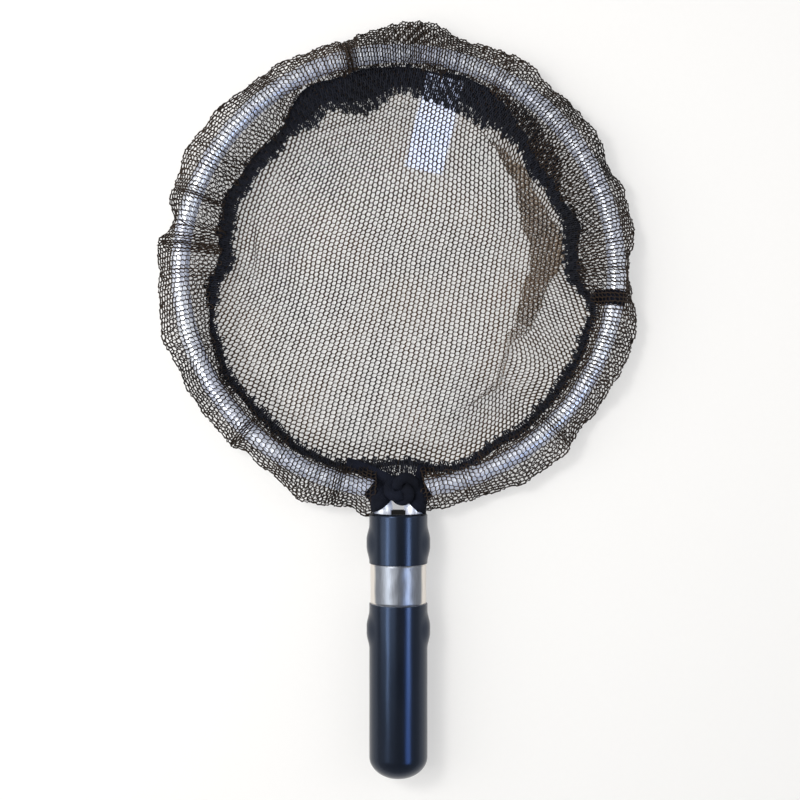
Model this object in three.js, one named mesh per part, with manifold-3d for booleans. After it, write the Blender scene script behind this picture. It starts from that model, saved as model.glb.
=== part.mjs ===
// Hand net for picking out single fish: a round hoop of bent tube riveted into a short tube handle,
// with a gathered net casing on the hoop and a shallow net bag hung from the casing's seam.
// Millimetres, +Z up. The net lies on a table at z = 0, the hoop's centre is over the origin
// and the handle points along -Y.
import * as THREE from "three";
import { mergeVertices } from "three/addons/utils/BufferGeometryUtils.js";
import Module from "manifold-3d";

const wasm = await Module();
wasm.setup();

// Hoop: one tube bent into a ring, whose two ends turn into parallel legs
const hoopDiameter = 240; // centreline of the ring
const hoopTubeOd = 10;
const hoopTubeWall = 1;
const neckBendRadius = 12; // centreline radius where the ring turns into a leg
const legGap = 0.3; // from a leg to the handle's bore
const legEndMargin = 10; // leg left beyond the lower rivet

// Handle tube and its two plugs
const handleTubeOd = 30;
const handleTubeWall = 1.6;
const handleTubeLength = 132.5;
const neckPlugProud = 3; // part of the neck plug outside the tube
const neckPlugDepth = 12; // part of the neck plug inside the tube
const neckGap = 0.5; // from the end of the neck bends to the plug
const buttPlugDepth = 14;
const buttDome = 11; // length of the butt plug's rounded nose
const plugGap = 0.2; // round each plug, and between a plug and what passes through it

// Cross rivets through the handle tube and both legs
const rivetShank = 5;
const rivetHead = 9;
const rivetHeadHeight = 1.15;
const rivetGap = 0.15; // round the shank, and under each head
const upperRivetDepth = 15.5; // below the tube's mouth
const lowerRivetBelowGrip = 14.3; // below the grip's upper edge

// Shrunk sleeves on the handle, and the foil label in the window between them
const shrinkWall = 0.8;
const shrinkGap = 0.2; // to what the sleeve is shrunk on
const collarLength = 26.5;
const collarLip = 1.2; // length shrunk inwards over the tube's mouth
const collarLipDraw = 0.9; // how far the lip is drawn in
const labelWindow = 22;
const bulgeReach = 10.5; // from a rivet's centre to where the sleeve lies flat again
const gripNoseOpening = 13; // bare nose of the butt plug at the grip's end
const foilLength = 21.4;
const foilThickness = 0.2;
const foilGap = 0.1;

// Net casing, gathered on the hoop, open at its two ends by the neck
const casingThickness = 0.8;
const casingClear = 1.9; // from the hoop tube to the casing above and below it
const casingReach = 7.5; // beyond the hoop tube's outer side, on average
const ruffleWave = 2.6; // how far the gathers swing in and out of that
const ruffleCount = 12;
const casingDroop = 4; // sag of the casing's inner and outer edges below the hoop's plane
const casingSquareness = 2.6; // 2 is an ellipse, more is fuller
const casingEndGap = 3; // left bare at each end, before the neck bend

// Seam ring where the casing and the bag are sewn together, and the tape that binds it
const seamInset = 12; // from the hoop's centreline in to the seam, on average
const seamShift = 4; // the seam ring hangs this much nearer the handle
const seamGap = 0.3; // between the casing, the tape, the bag and what they lie on
const tapeWidth = 8;
const tapeThickness = 1.2;

// Net bag: a side that slopes in from the seam to a flat floor of six-sided gaps
const netThickness = 1.5;
const bagRun = 12; // from the seam in to the floor, seen from above
const meshPitch = 12;
const meshStrand = 1.8;
const meshTurn = -12; // degrees
const floorSides = 60;

// Tape loop that ties the seam to the hoop, inside the casing
const loopAngle = -7; // degrees round the hoop from +X
const loopWidth = 8;
const loopThickness = 0.9;
const loopGap = 0.3;
const loopTailGap = 2.5; // from the end of the loop to the seam

// Wraps of tape on the neck bends, and the knot between them
const wrapThickness = 1.6;
const wrapGap = 0.3;
const wrapShare = 0.76; // of the bend that is covered
const knotRadius = 6;
const knotFlatness = 0.6;

// Sewn-in label, which lies under the bag
const careWidth = 21;
const careLength = 45;
const careThickness = 0.5;
const careGap = 0.3; // between the label and the net over it
const careFoot = 0.1; // between the label and the table
const careTuck = 2; // from the seam to the label's sewn end
const careAngle = 76; // degrees round the seam ring from +X

// Facets
const handleSides = 28;
const ringSides = 60;
const tubeSides = 12;
const boreSides = 6;

// Sizes that follow from the driving ones
const hoopRadius = hoopDiameter / 2;
const hoopTubeRadius = hoopTubeOd / 2;
const handleRadius = handleTubeOd / 2;
const handleBore = handleRadius - handleTubeWall;
const legOffset = handleBore - legGap - hoopTubeRadius;
const sleeveRadius = handleRadius + shrinkGap;
const hoopHeight = sleeveRadius + shrinkWall;
const bendX = legOffset + neckBendRadius;
const bendY = -Math.sqrt((hoopRadius + neckBendRadius) ** 2 - bendX ** 2);
const neckAngle = Math.asin(bendX / (hoopRadius + neckBendRadius));
const mouthY = bendY - neckGap - neckPlugProud;
const gripStart = collarLength + labelWindow;
const lowerRivetDepth = gripStart + lowerRivetBelowGrip;
const rivetDepths = [upperRivetDepth, lowerRivetDepth];
const legDepth = lowerRivetDepth + legEndMargin;
const seamRadius = hoopRadius - seamInset;
const seamHeight = hoopHeight - casingDroop;
const loopTail = seamInset - loopTailGap;
const floorRadius = seamRadius - bagRun;

// Colours and finishes
const aluminium = new THREE.MeshStandardMaterial({ color: 0xc4c8d2, roughness: 0.32, metalness: 1 });
const shrinkBlack = new THREE.MeshStandardMaterial({ color: 0x11151f, roughness: 0.34, metalness: 0 });
const plugBlack = new THREE.MeshStandardMaterial({ color: 0x17181a, roughness: 0.55, metalness: 0 });
const foilSilver = new THREE.MeshStandardMaterial({ color: 0xd3d8e2, roughness: 0.25, metalness: 0.9 });
const netBlack = new THREE.MeshStandardMaterial({ color: 0x1c1917, roughness: 0.8, metalness: 0 });
const tapeNavy = new THREE.MeshStandardMaterial({ color: 0x10141d, roughness: 0.85, metalness: 0 });
const labelWhite = new THREE.MeshStandardMaterial({ color: 0xe9edf6, roughness: 0.7, metalness: 0 });

const part = new THREE.Group();

function addPiece(name, geometry, material, parent = part) {
  const mesh = new THREE.Mesh(geometry, material);
  mesh.name = name;
  parent.add(mesh);
  return mesh;
}

const radians = (degrees) => (degrees * Math.PI) / 180;

// Boolean cuts

function solidFrom(geometry) {
  const bare = geometry.clone();
  bare.deleteAttribute("normal");
  bare.deleteAttribute("uv");
  const merged = mergeVertices(bare, 1e-4);
  return new wasm.Manifold(
    new wasm.Mesh({
      numProp: 3,
      vertProperties: merged.attributes.position.array,
      triVerts: new Uint32Array(merged.index.array),
    }),
  );
}

function geometryFrom(solid) {
  const mesh = solid.getMesh();
  const geometry = new THREE.BufferGeometry();
  geometry.setAttribute("position", new THREE.BufferAttribute(mesh.vertProperties, 3));
  geometry.setIndex(new THREE.BufferAttribute(mesh.triVerts, 1));
  return geometry;
}

function cut(geometry, tools) {
  return geometryFrom(tools.reduce((left, tool) => left.subtract(solidFrom(tool)), solidFrom(geometry)));
}

// Sweeps, turned shapes and lofts

// A path of straight and round stretches in the XY plane, with a set number of steps on each stretch
class SteppedPath extends THREE.Curve {
  constructor(stretches) {
    super();
    this.stretches = stretches;
    this.steps = stretches.reduce((sum, stretch) => sum + stretch.steps, 0);
  }

  getPoint(t) {
    let step = t * this.steps;
    for (const stretch of this.stretches.slice(0, -1)) {
      if (step <= stretch.steps) return stretch.at(step / stretch.steps);
      step -= stretch.steps;
    }
    const last = this.stretches.at(-1);
    return last.at(step / last.steps);
  }

  getUtoTmapping(u) {
    return u;
  }
}

function straight(from, to, steps) {
  return { steps, at: (t) => new THREE.Vector3().lerpVectors(from, to, t) };
}

function arc(centreX, centreY, radius, fromAngle, toAngle, steps) {
  const at = (t) => {
    const angle = fromAngle + (toAngle - fromAngle) * t;
    return new THREE.Vector3(centreX + radius * Math.cos(angle), centreY + radius * Math.sin(angle), 0);
  };
  return { steps, at };
}

function circlePoints(radius, sides) {
  return Array.from({ length: sides }, (_, i) => {
    const angle = ((i + 0.5) / sides) * 2 * Math.PI;
    return new THREE.Vector2(radius * Math.cos(angle), radius * Math.sin(angle));
  });
}

// A hollow tube along a path, with the wall between two radii
function sweptTube(path, outerRadius, innerRadius, outerSides, innerSides) {
  const ring = new THREE.Shape(circlePoints(outerRadius, outerSides));
  ring.holes.push(new THREE.Path(circlePoints(innerRadius, innerSides)));
  return new THREE.ExtrudeGeometry(ring, { steps: path.steps, extrudePath: path, bevelEnabled: false });
}

// Turned about +Y from [radius, y] pairs
function turned(pairs, sides) {
  return new THREE.LatheGeometry(pairs.map(([r, y]) => new THREE.Vector2(r, y)), sides);
}

// A closed skin through rings of as many points each, where the last ring joins the first
function loftedRings(rings) {
  const count = rings[0].length;
  const index = [];
  rings.forEach((_, i) => {
    const next = ((i + 1) % rings.length) * count;
    for (let j = 0; j < count; j += 1) {
      const k = (j + 1) % count;
      index.push(i * count + j, i * count + k, next + k, i * count + j, next + k, next + j);
    }
  });
  const geometry = new THREE.BufferGeometry().setFromPoints(rings.flat());
  geometry.setIndex(index);
  return geometry;
}

// A thin skin between outer rings and the inner rings that face them, open at both ends
function skinBetween(outerRings, innerRings) {
  return loftedRings([...outerRings, ...innerRings.toReversed()]);
}

const smooth = (t) => THREE.MathUtils.smoothstep(t, 0, 1);

// The handle's own frame: +Y runs from the tube's mouth down to the butt

const handle = new THREE.Group();
handle.position.set(0, mouthY, hoopHeight);
handle.rotation.z = Math.PI;
part.add(handle);

function crossHole(depth) {
  const length = handleTubeOd + 2 * hoopTubeOd;
  const hole = new THREE.CylinderGeometry(rivetShank / 2 + rivetGap, rivetShank / 2 + rivetGap, length, 16);
  return hole.rotateZ(Math.PI / 2).translate(0, depth, 0);
}

function makeHandleTube() {
  const wall = turned(
    [
      [handleBore, 0],
      [handleRadius, 0],
      [handleRadius, handleTubeLength],
      [handleBore, handleTubeLength],
      [handleBore, 0],
    ],
    handleSides,
  );
  addPiece("handle_tube", cut(wall, rivetDepths.map(crossHole)), aluminium, handle);
}

// The plug's bores break out at its sides, because the legs bear on the tube's own wall
function makeNeckPlug() {
  const radius = handleBore - plugGap;
  const length = neckPlugProud + neckPlugDepth;
  const body = turned(
    [
      [0, -neckPlugProud],
      [radius, -neckPlugProud],
      [radius, neckPlugDepth],
      [0, neckPlugDepth],
    ],
    handleSides,
  );
  const legBores = [-1, 1].map((side) => {
    const bore = hoopTubeRadius + plugGap;
    const clearance = new THREE.CylinderGeometry(bore, bore, 2 * length, 24);
    return clearance.translate(side * legOffset, 0, 0);
  });
  const rivetRoom = new THREE.BoxGeometry(2 * radius, rivetShank + 2 * rivetGap, rivetShank + 2 * rivetGap);
  rivetRoom.translate(0, upperRivetDepth, 0);
  addPiece("neck_plug", cut(body, [...legBores, rivetRoom]), plugBlack, handle);
}

function domeRadius(share) {
  return Math.sqrt(Math.max(0, 1 - share ** 2));
}

function makeButtPlug() {
  const spigot = handleBore - plugGap;
  const steps = 7;
  const nose = Array.from({ length: steps + 1 }, (_, i) => {
    const share = Math.sin((i / steps) * (Math.PI / 2));
    return [i === steps ? 0 : handleRadius * domeRadius(share), handleTubeLength + plugGap + buttDome * share];
  });
  const profile = [[0, handleTubeLength - buttPlugDepth], [spigot, handleTubeLength - buttPlugDepth]];
  profile.push([spigot, handleTubeLength + plugGap], ...nose);
  addPiece("butt_plug", turned(profile, handleSides), plugBlack, handle);
}

function makeRivet(name, depth) {
  const seat = handleRadius + rivetGap;
  const rim = rivetHead / 2;
  const half = [
    [rivetShank / 2, seat],
    [rim, seat],
    [rim * 0.94, seat + rivetHeadHeight * 0.4],
    [rim * 0.6, seat + rivetHeadHeight * 0.85],
    [0, seat + rivetHeadHeight],
  ];
  const mirrored = half.toReversed().map(([r, y]) => [r, -y]);
  const rivet = turned([...mirrored, ...half], 16).rotateZ(Math.PI / 2);
  addPiece(name, rivet.translate(0, depth, 0), aluminium, handle);
}

// How far a sleeve is pushed out by the rivet heads at both sides of the handle
function rivetBulge(depth, angle, rivetDepth) {
  const height = rivetGap + rivetHeadHeight + shrinkGap;
  const around = Math.asin(Math.abs(Math.cos(angle))) * sleeveRadius;
  const distance = Math.hypot(depth - rivetDepth, around);
  const flat = rivetHead / 4;
  return height * (1 - smooth((distance - flat) / (bulgeReach - flat)));
}

// Rings of a sleeve from [depth, radius] stations, with the bulge over one rivet
function sleeveRings(stations, rivetDepth, offset) {
  return stations.map(([depth, radius, inset = 0]) =>
    Array.from({ length: handleSides }, (_, i) => {
      const angle = (i / handleSides) * 2 * Math.PI;
      const bulge = rivetBulge(depth, angle, rivetDepth);
      const r = radius + bulge + offset;
      return new THREE.Vector3(r * Math.sin(angle), depth + inset * offset, r * Math.cos(angle));
    }),
  );
}

function bulgeStations(rivetDepth, steps) {
  return Array.from({ length: steps + 1 }, (_, i) => rivetDepth + bulgeReach * ((2 * i) / steps - 1));
}

function makeCollarSleeve() {
  const inBulge = bulgeStations(upperRivetDepth, 6).filter((depth) => depth > 1 && depth < collarLength - 1);
  const straightDepths = [shrinkGap, ...inBulge, collarLength];
  const stations = [
    [-collarLip, sleeveRadius - collarLipDraw],
    ...straightDepths.map((depth) => [depth, sleeveRadius]),
  ];
  stations.splice(1, 0, [-collarLip / 3, sleeveRadius - collarLipDraw / 4]);
  const rings = (offset) => sleeveRings(stations, upperRivetDepth, offset);
  addPiece("collar_sleeve", skinBetween(rings(shrinkWall), rings(0)), shrinkBlack, handle);
}

// The grip follows the butt plug's nose and leaves its tip bare
function makeGripSleeve() {
  const noseStart = handleTubeLength + plugGap;
  const lastShare = domeRadius(gripNoseOpening / 2 / sleeveRadius);
  const steps = 6;
  const nose = Array.from({ length: steps }, (_, i) => {
    const angle = (Math.asin(lastShare) * (i + 1)) / steps;
    return [noseStart + (buttDome + shrinkGap) * Math.sin(angle), sleeveRadius * Math.cos(angle), Math.sin(angle)];
  });
  const inBulge = bulgeStations(lowerRivetDepth, 6).filter((depth) => depth > gripStart + 1);
  const straightDepths = [gripStart, ...inBulge, noseStart];
  const stations = [...straightDepths.map((depth) => [depth, sleeveRadius]), ...nose];
  const rings = (offset) => sleeveRings(stations, lowerRivetDepth, offset);
  addPiece("grip_sleeve", skinBetween(rings(shrinkWall), rings(0)), shrinkBlack, handle);
}

// A foil wrapped round the tube, with its two edges meeting underneath
function makeFoilLabel() {
  const inner = handleRadius + foilGap;
  const outer = inner + foilThickness;
  const corners = handleSides - 1;
  const ring = (radius) =>
    Array.from({ length: corners }, (_, i) => {
      const angle = ((i + 1) / handleSides) * 2 * Math.PI - Math.PI / 2;
      return new THREE.Vector2(radius * Math.cos(angle), radius * Math.sin(angle));
    });
  const band = new THREE.Shape([...ring(outer), ...ring(inner).toReversed()]);
  const foil = new THREE.ExtrudeGeometry(band, { depth: foilLength, bevelEnabled: false });
  foil.rotateX(Math.PI / 2).translate(0, collarLength + (labelWindow + foilLength) / 2, 0);
  addPiece("foil_label", foil, foilSilver, handle);
}

// The hoop

const legEnd = mouthY - legDepth;
const bendEndAngle = Math.PI / 2 + neckAngle;

function neckBendArc(side, steps) {
  const from = side > 0 ? bendEndAngle : 0;
  const to = side > 0 ? Math.PI : Math.PI / 2 - neckAngle;
  return arc(side * bendX, bendY, neckBendRadius, from, to, steps);
}

function makeHoop() {
  const ringStart = 1.5 * Math.PI - neckAngle;
  const path = new SteppedPath([
    straight(new THREE.Vector3(-legOffset, legEnd, 0), new THREE.Vector3(-legOffset, bendY, 0), 2),
    neckBendArc(-1, 5),
    arc(0, 0, hoopRadius, ringStart, neckAngle - Math.PI / 2, 52),
    neckBendArc(1, 5),
    straight(new THREE.Vector3(legOffset, bendY, 0), new THREE.Vector3(legOffset, legEnd, 0), 2),
  ]);
  const tube = sweptTube(path, hoopTubeRadius, hoopTubeRadius - hoopTubeWall, tubeSides, boreSides);
  const holes = rivetDepths.map((depth) => crossHole(depth).rotateZ(Math.PI).translate(0, mouthY, 0));
  const hoop = addPiece("hoop_tube", cut(tube, holes), aluminium);
  hoop.position.z = hoopHeight;
}

function makeNeckWrap(name, side) {
  const bend = neckBendArc(side, 1);
  const bare = (1 - wrapShare) / 2;
  const path = new SteppedPath([{ steps: 6, at: (t) => bend.at(bare + wrapShare * t) }]);
  const inner = hoopTubeRadius + wrapGap;
  const wrap = addPiece(name, sweptTube(path, inner + wrapThickness, inner, tubeSides, tubeSides), tapeNavy);
  wrap.position.z = hoopHeight;
}

// The knot sits in the crotch of the neck, against both wraps and just over the seam tape
function makeNeckKnot() {
  const wrapOuter = neckBendRadius + hoopTubeRadius + wrapGap + wrapThickness;
  const reach = wrapOuter + seamGap + knotRadius;
  const knot = new THREE.SphereGeometry(knotRadius, 14, 8).rotateX(Math.PI / 2);
  knot.scale(1, 1, knotFlatness);
  const height = seamHeight + tapeThickness + seamGap + knotRadius * knotFlatness;
  addPiece("neck_knot", knot.translate(0, bendY + Math.sqrt(reach ** 2 - bendX ** 2), height), tapeNavy);
}

// The net

// Distance from the hoop's centre out to the seam ring, whose own centre lies nearer the handle
function seamReach(angle) {
  const along = -seamShift * Math.sin(angle);
  return along + Math.sqrt(seamRadius ** 2 - seamShift ** 2 + along ** 2);
}

const signedPower = (value, power) => Math.sign(value) * Math.abs(value) ** power;

// One loop of the casing round the hoop tube, at an angle round the hoop
function casingLoop(angle, inset) {
  const innerEdge = seamReach(angle) + seamGap + inset;
  const ruffle = ruffleWave * Math.cos(ruffleCount * angle);
  const outerEdge = hoopRadius + hoopTubeRadius + casingReach + ruffle - inset;
  const middle = (innerEdge + outerEdge) / 2;
  const halfWidth = (outerEdge - innerEdge) / 2;
  const halfHeight = hoopTubeRadius + casingClear + casingThickness - inset;
  const points = 10;
  return Array.from({ length: points }, (_, i) => {
    const turn = ((i + 0.5) / points) * 2 * Math.PI;
    const reach = middle + halfWidth * signedPower(Math.cos(turn), 2 / casingSquareness);
    const droop = casingDroop * ((reach - hoopRadius) / seamInset) ** 2;
    const height = hoopHeight - droop + halfHeight * signedPower(Math.sin(turn), 2 / casingSquareness);
    return new THREE.Vector3(reach * Math.cos(angle), reach * Math.sin(angle), height);
  });
}

function makeNetCasing() {
  const endAngle = neckAngle + casingEndGap / hoopRadius;
  const from = endAngle - Math.PI / 2;
  const sweep = 2 * Math.PI - 2 * endAngle;
  const angles = Array.from({ length: ringSides + 1 }, (_, i) => from + (sweep * i) / ringSides);
  const loops = (inset) => angles.map((angle) => casingLoop(angle, inset));
  addPiece("net_casing", skinBetween(loops(0).toReversed(), loops(casingThickness).toReversed()), netBlack);
}

// The net bag's own frame stands on the table under the centre of the seam ring
const bag = new THREE.Group();
bag.position.y = -seamShift;
part.add(bag);

const sideFoot = floorRadius + seamGap;
const sideTop = seamRadius - seamGap;
const sideSlope = Math.atan2(seamHeight - netThickness - tapeThickness - seamGap, sideTop - sideFoot);
const sideTopHeight = (sideTop - sideFoot) * Math.tan(sideSlope);

// Side view of the sewn-in label, from under the floor up along the bag's side
function careOutline(foot, thickness, tip, top) {
  const climb = ((top - sideFoot) / (sideTop - sideFoot)) * sideTopHeight;
  return new THREE.Shape([
    new THREE.Vector2(tip, foot),
    new THREE.Vector2(sideFoot, foot),
    new THREE.Vector2(top, foot + climb),
    new THREE.Vector2(top, foot + thickness + climb),
    new THREE.Vector2(sideFoot, foot + thickness),
    new THREE.Vector2(tip, foot + thickness),
  ]);
}

function careSolid(outline, width) {
  const solid = new THREE.ExtrudeGeometry(outline, { depth: width, bevelEnabled: false });
  return solid.translate(0, 0, -width / 2).rotateX(Math.PI / 2).rotateZ(radians(careAngle));
}

const careTip = seamRadius - careLength;
const careTop = sideTop - careTuck;

// Room for the label in the underside of the net
function careRoom() {
  const below = netThickness;
  const depth = below + careFoot + careThickness + careGap;
  return careSolid(careOutline(-below, depth, careTip - careGap, careTop + careGap), careWidth + 2 * careGap);
}

function makeBagSide() {
  const profile = [
    [sideFoot, 0],
    [sideTop, sideTopHeight],
    [sideTop, sideTopHeight + netThickness],
    [sideFoot, netThickness],
    [sideFoot, 0],
  ];
  const side = turned(profile, ringSides).rotateX(Math.PI / 2);
  addPiece("bag_side", cut(side, [careRoom()]), netBlack, bag);
}

// A strand joint of the mesh lies over the part's origin
function makeBagFloor() {
  const turn = radians(meshTurn);
  const gapRadius = (meshPitch - meshStrand) / Math.sqrt(3);
  const floor = new THREE.Shape().absarc(0, 0, floorRadius, 0, 2 * Math.PI);
  const rows = Math.ceil((2 * floorRadius) / meshPitch);
  for (let row = -rows; row <= rows; row += 1) {
    for (let column = -rows; column <= rows; column += 1) {
      const flat = new THREE.Vector2(
        meshPitch * (column + row / 2),
        meshPitch * (row * Math.sqrt(0.75) + 1 / Math.sqrt(3)),
      );
      const centre = flat.rotateAround(new THREE.Vector2(), turn).add(new THREE.Vector2(0, seamShift));
      if (centre.length() + gapRadius + meshStrand > floorRadius) continue;
      const corners = Array.from({ length: 6 }, (_, i) => {
        const angle = turn + ((i + 0.5) * Math.PI) / 3;
        return new THREE.Vector2(Math.cos(angle), Math.sin(angle)).multiplyScalar(gapRadius).add(centre);
      });
      floor.holes.push(new THREE.Path(corners));
    }
  }
  const net = new THREE.ExtrudeGeometry(floor, {
    depth: netThickness,
    bevelEnabled: false,
    curveSegments: floorSides,
  });
  addPiece("bag_floor", cut(net, [careRoom()]), netBlack, bag);
}

// The tape lies on the bag's side, from the seam down towards the floor
function makeSeamTape() {
  const run = tapeWidth * Math.cos(sideSlope);
  const drop = tapeWidth * Math.sin(sideSlope);
  const under = sideTopHeight + netThickness + seamGap;
  const top = under + tapeThickness;
  const tape = turned(
    [
      [sideTop - run, under - drop],
      [sideTop, under],
      [sideTop, top],
      [sideTop - run, top - drop],
      [sideTop - run, under - drop],
    ],
    ringSides,
  );
  addPiece("seam_tape", tape.rotateX(Math.PI / 2), tapeNavy, bag);
}

function makeCareLabel() {
  const outline = careOutline(careFoot, careThickness, careTip, careTop);
  addPiece("care_label", careSolid(outline, careWidth), labelWhite, bag);
}

// A band round the hoop tube, drawn to a point towards the seam
function makeRetainingLoop() {
  const inner = hoopTubeRadius + loopGap;
  const outer = inner + loopThickness;
  const tailDrop = -casingDroop * (loopTail / seamInset) ** 2;
  const band = (radius, tail) => {
    const sides = 14;
    const open = Math.acos(radius / Math.hypot(tail, tailDrop));
    const lean = Math.atan2(tailDrop, -tail);
    const round = Array.from({ length: sides + 1 }, (_, i) => {
      const angle = lean + open + ((2 * Math.PI - 2 * open) * i) / sides;
      return new THREE.Vector2(radius * Math.cos(angle), radius * Math.sin(angle));
    });
    return [...round, new THREE.Vector2(-tail, tailDrop)];
  };
  const outline = new THREE.Shape(band(outer, loopTail));
  outline.holes.push(new THREE.Path(band(inner, loopTail - 2 * loopThickness)));
  const loop = new THREE.ExtrudeGeometry(outline, { depth: loopWidth, bevelEnabled: false });
  loop.translate(0, 0, -loopWidth / 2).rotateX(Math.PI / 2).translate(hoopRadius, 0, hoopHeight);
  addPiece("retaining_loop", loop, tapeNavy).rotation.z = radians(loopAngle);
}

makeHoop();
makeHandleTube();
makeNeckPlug();
makeButtPlug();
makeRivet("upper_cross_rivet", upperRivetDepth);
makeRivet("lower_cross_rivet", lowerRivetDepth);
makeCollarSleeve();
makeGripSleeve();
makeFoilLabel();
makeNetCasing();
makeBagSide();
makeBagFloor();
makeSeamTape();
makeRetainingLoop();
makeNeckWrap("neck_wrap_left", -1);
makeNeckWrap("neck_wrap_right", 1);
makeNeckKnot();
makeCareLabel();

export default part;
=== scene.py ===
import math

import bpy
import numpy as np
from bpy.props import FloatProperty, FloatVectorProperty, IntProperty, PointerProperty
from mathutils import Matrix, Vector
from mathutils.geometry import tessellate_polygon


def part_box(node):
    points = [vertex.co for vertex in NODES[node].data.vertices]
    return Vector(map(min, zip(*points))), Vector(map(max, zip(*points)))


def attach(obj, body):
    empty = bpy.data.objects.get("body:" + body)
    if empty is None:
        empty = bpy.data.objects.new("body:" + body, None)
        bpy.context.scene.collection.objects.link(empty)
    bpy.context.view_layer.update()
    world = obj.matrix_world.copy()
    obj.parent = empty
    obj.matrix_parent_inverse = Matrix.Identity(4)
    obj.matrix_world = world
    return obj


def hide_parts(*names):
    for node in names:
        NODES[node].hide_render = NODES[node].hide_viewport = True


bl_info = {
    "name": "Round hand net",
    "version": (1, 0, 0),
    "blender": (4, 5, 0),
    "location": "3D View > Sidebar > Hand net",
    "description": "Dresses the hand net's frame with its tube, sleeves, knitted net, tapes and label",
    "category": "Object",
}

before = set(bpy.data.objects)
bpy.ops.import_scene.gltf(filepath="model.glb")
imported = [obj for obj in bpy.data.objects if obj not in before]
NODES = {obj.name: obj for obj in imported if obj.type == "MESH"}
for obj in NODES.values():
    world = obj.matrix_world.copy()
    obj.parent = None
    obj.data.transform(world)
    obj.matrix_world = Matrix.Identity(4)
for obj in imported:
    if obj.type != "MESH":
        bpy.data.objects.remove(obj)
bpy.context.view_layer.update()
HOOP_LOW, HOOP_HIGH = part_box("hoop_tube")
HANDLE_LOW, HANDLE_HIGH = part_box("handle_tube")

MM = 0.001
TAU = 2 * math.pi
UP = np.array([0, 0, 1])
HOOP_LEVEL = (HOOP_LOW.z + HOOP_HIGH.z) / 2
MOUTH = HANDLE_HIGH.y
# Depth below the handle's mouth where the butt plug's nose begins, just past the tube's end
NOSE_START = HANDLE_HIGH.y - HANDLE_LOW.y + 0.2 * MM


def length(name, description, millimetres):
    size = millimetres * MM
    return FloatProperty(name=name, description=description, default=size, unit="LENGTH", precision=5)


def factor(name, description, value, low, high):
    return FloatProperty(name=name, description=description, default=value, min=low, max=high)


def colour(name, description, value):
    return FloatVectorProperty(
        name=name, description=description, default=value, subtype="COLOR", size=3, min=0, max=1
    )


# Sizes and colours that a user would change


class HandNetTube(bpy.types.PropertyGroup):
    hoop_radius: length("Hoop radius", "Centreline of the ring", 120)
    tube_radius: length("Tube radius", "Outside of the hoop's tube", 5)
    tube_wall: length("Tube wall", "Wall of the hoop's tube", 1)
    neck_bend: length("Neck bend", "Centreline radius where the ring turns into a leg", 12)
    leg_offset: length("Leg offset", "From the handle's axis to a leg's centreline", 8.1)
    handle_radius: length("Handle radius", "Outside of the handle's tube", 15)


class HandNetSleeves(bpy.types.PropertyGroup):
    wall: length("Sleeve wall", "Thickness of the shrunk sleeves", 0.8)
    gap: length("Sleeve gap", "From a sleeve to the tube under it", 0.2)
    lip_draw: length("Lip draw", "How far the collar's lip is drawn in over the tube's mouth", 1.6)
    bulge: length("Rivet bulge", "How far a sleeve stands out over a rivet's head", 1.5)
    bulge_reach: length("Bulge reach", "From the rivet's centre to where the sleeve lies flat again", 10.5)
    nose_dome: length("Nose dome", "Length of the rounded nose of the butt plug", 11)
    nose_opening: length("Nose opening", "Half the width of the bare nose at the butt", 6.5)


class HandNetNet(bpy.types.PropertyGroup):
    strand_width: length("Strand width", "Width of one strand of the bag's net", 0.63)
    casing_strand: length("Casing strand", "Width of one strand of the casing's net", 0.36)
    seam_strand: length("Seam strand", "Width of one strand of the net gathered on the seam", 0.46)
    seam_height: length("Seam height", "Thickness of the net gathered on the seam", 0.84)
    strand_height: length("Strand height", "Thickness of the net", 0.74)
    casing_height: length("Casing height", "Thickness of the casing's net", 0.72)
    cell_scale: factor("Cell scale", "Size of the net's cells", 1.0, 0.8, 3)
    slack: factor("Slack", "How unevenly the cells are pulled", 0.13, 0, 0.4)
    outer_reach: length("Outer reach", "From the hoop's centre to the casing's outer edge", 132.4)
    seam_reach: length("Seam reach", "From the hoop's centre to the seam where it isn't drawn in", 112.5)
    seam_level: length("Seam level", "Height of the seam over the table", 9.3)
    seed: IntProperty(name="Seed", description="Start of the random gathers", default=11, min=0)


class HandNetFinishes(bpy.types.PropertyGroup):
    # Its bluish tint is a painted reflection of a blue sky
    bright_metal_and_sky_tint: colour("Bright metal", "Tube of the hoop and the handle", (0.86, 0.89, 1.0))
    foil: colour("Foil", "Bare label in the handle's window", (0.195, 0.21, 0.24))
    sleeve: colour("Sleeve", "Shrunk collar and grip", (0.0045, 0.005, 0.0065))
    # A painted reflection: the blue tint of the sleeves' gloss stands in for reflected blue sky
    sleeve_painted_sky_tint: colour("Sleeve shine", "Tint of the sleeves' gloss", (0.4, 0.58, 1.0))
    plug: colour("Plug", "Plugs in the handle's ends", (0.004, 0.004, 0.004))
    net_dark: colour("Net, dark", "Darker yarn of the net", (0.011, 0.0065, 0.004))
    net_brown: colour("Net, brown", "Faded yarn of the net", (0.085, 0.048, 0.025))
    tape: colour("Tape", "Binding tape", (0.0036, 0.0048, 0.0105))
    # Its bluish tint is painted light, standing in for blue sky light on the white label
    label: colour("Label", "Sewn-in label", (0.78, 0.87, 1.0))


class HandNetStage(bpy.types.PropertyGroup):
    eye_height: length("Eye height", "Camera over the table", 800)
    frame_width: length("Frame width", "Width of the view at the hoop's level", 440)
    eye_x: length("Eye across", "Camera to the right of the hoop's centre", 0.9)
    eye_y: length("Eye along", "Camera from the hoop's centre, towards the far side", -70.8)
    floor: colour("Floor", "Pale table", (0.885, 0.875, 0.86))


# Meshes


def unit(vectors):
    return vectors / np.maximum(np.linalg.norm(vectors, axis=-1, keepdims=True), 1e-12)


def smooth(values):
    t = np.clip(values, 0, 1)
    return t * t * (3 - 2 * t)


def hump(values, centre, width):
    return np.exp(-(((values - centre) / width) ** 2))


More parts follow.
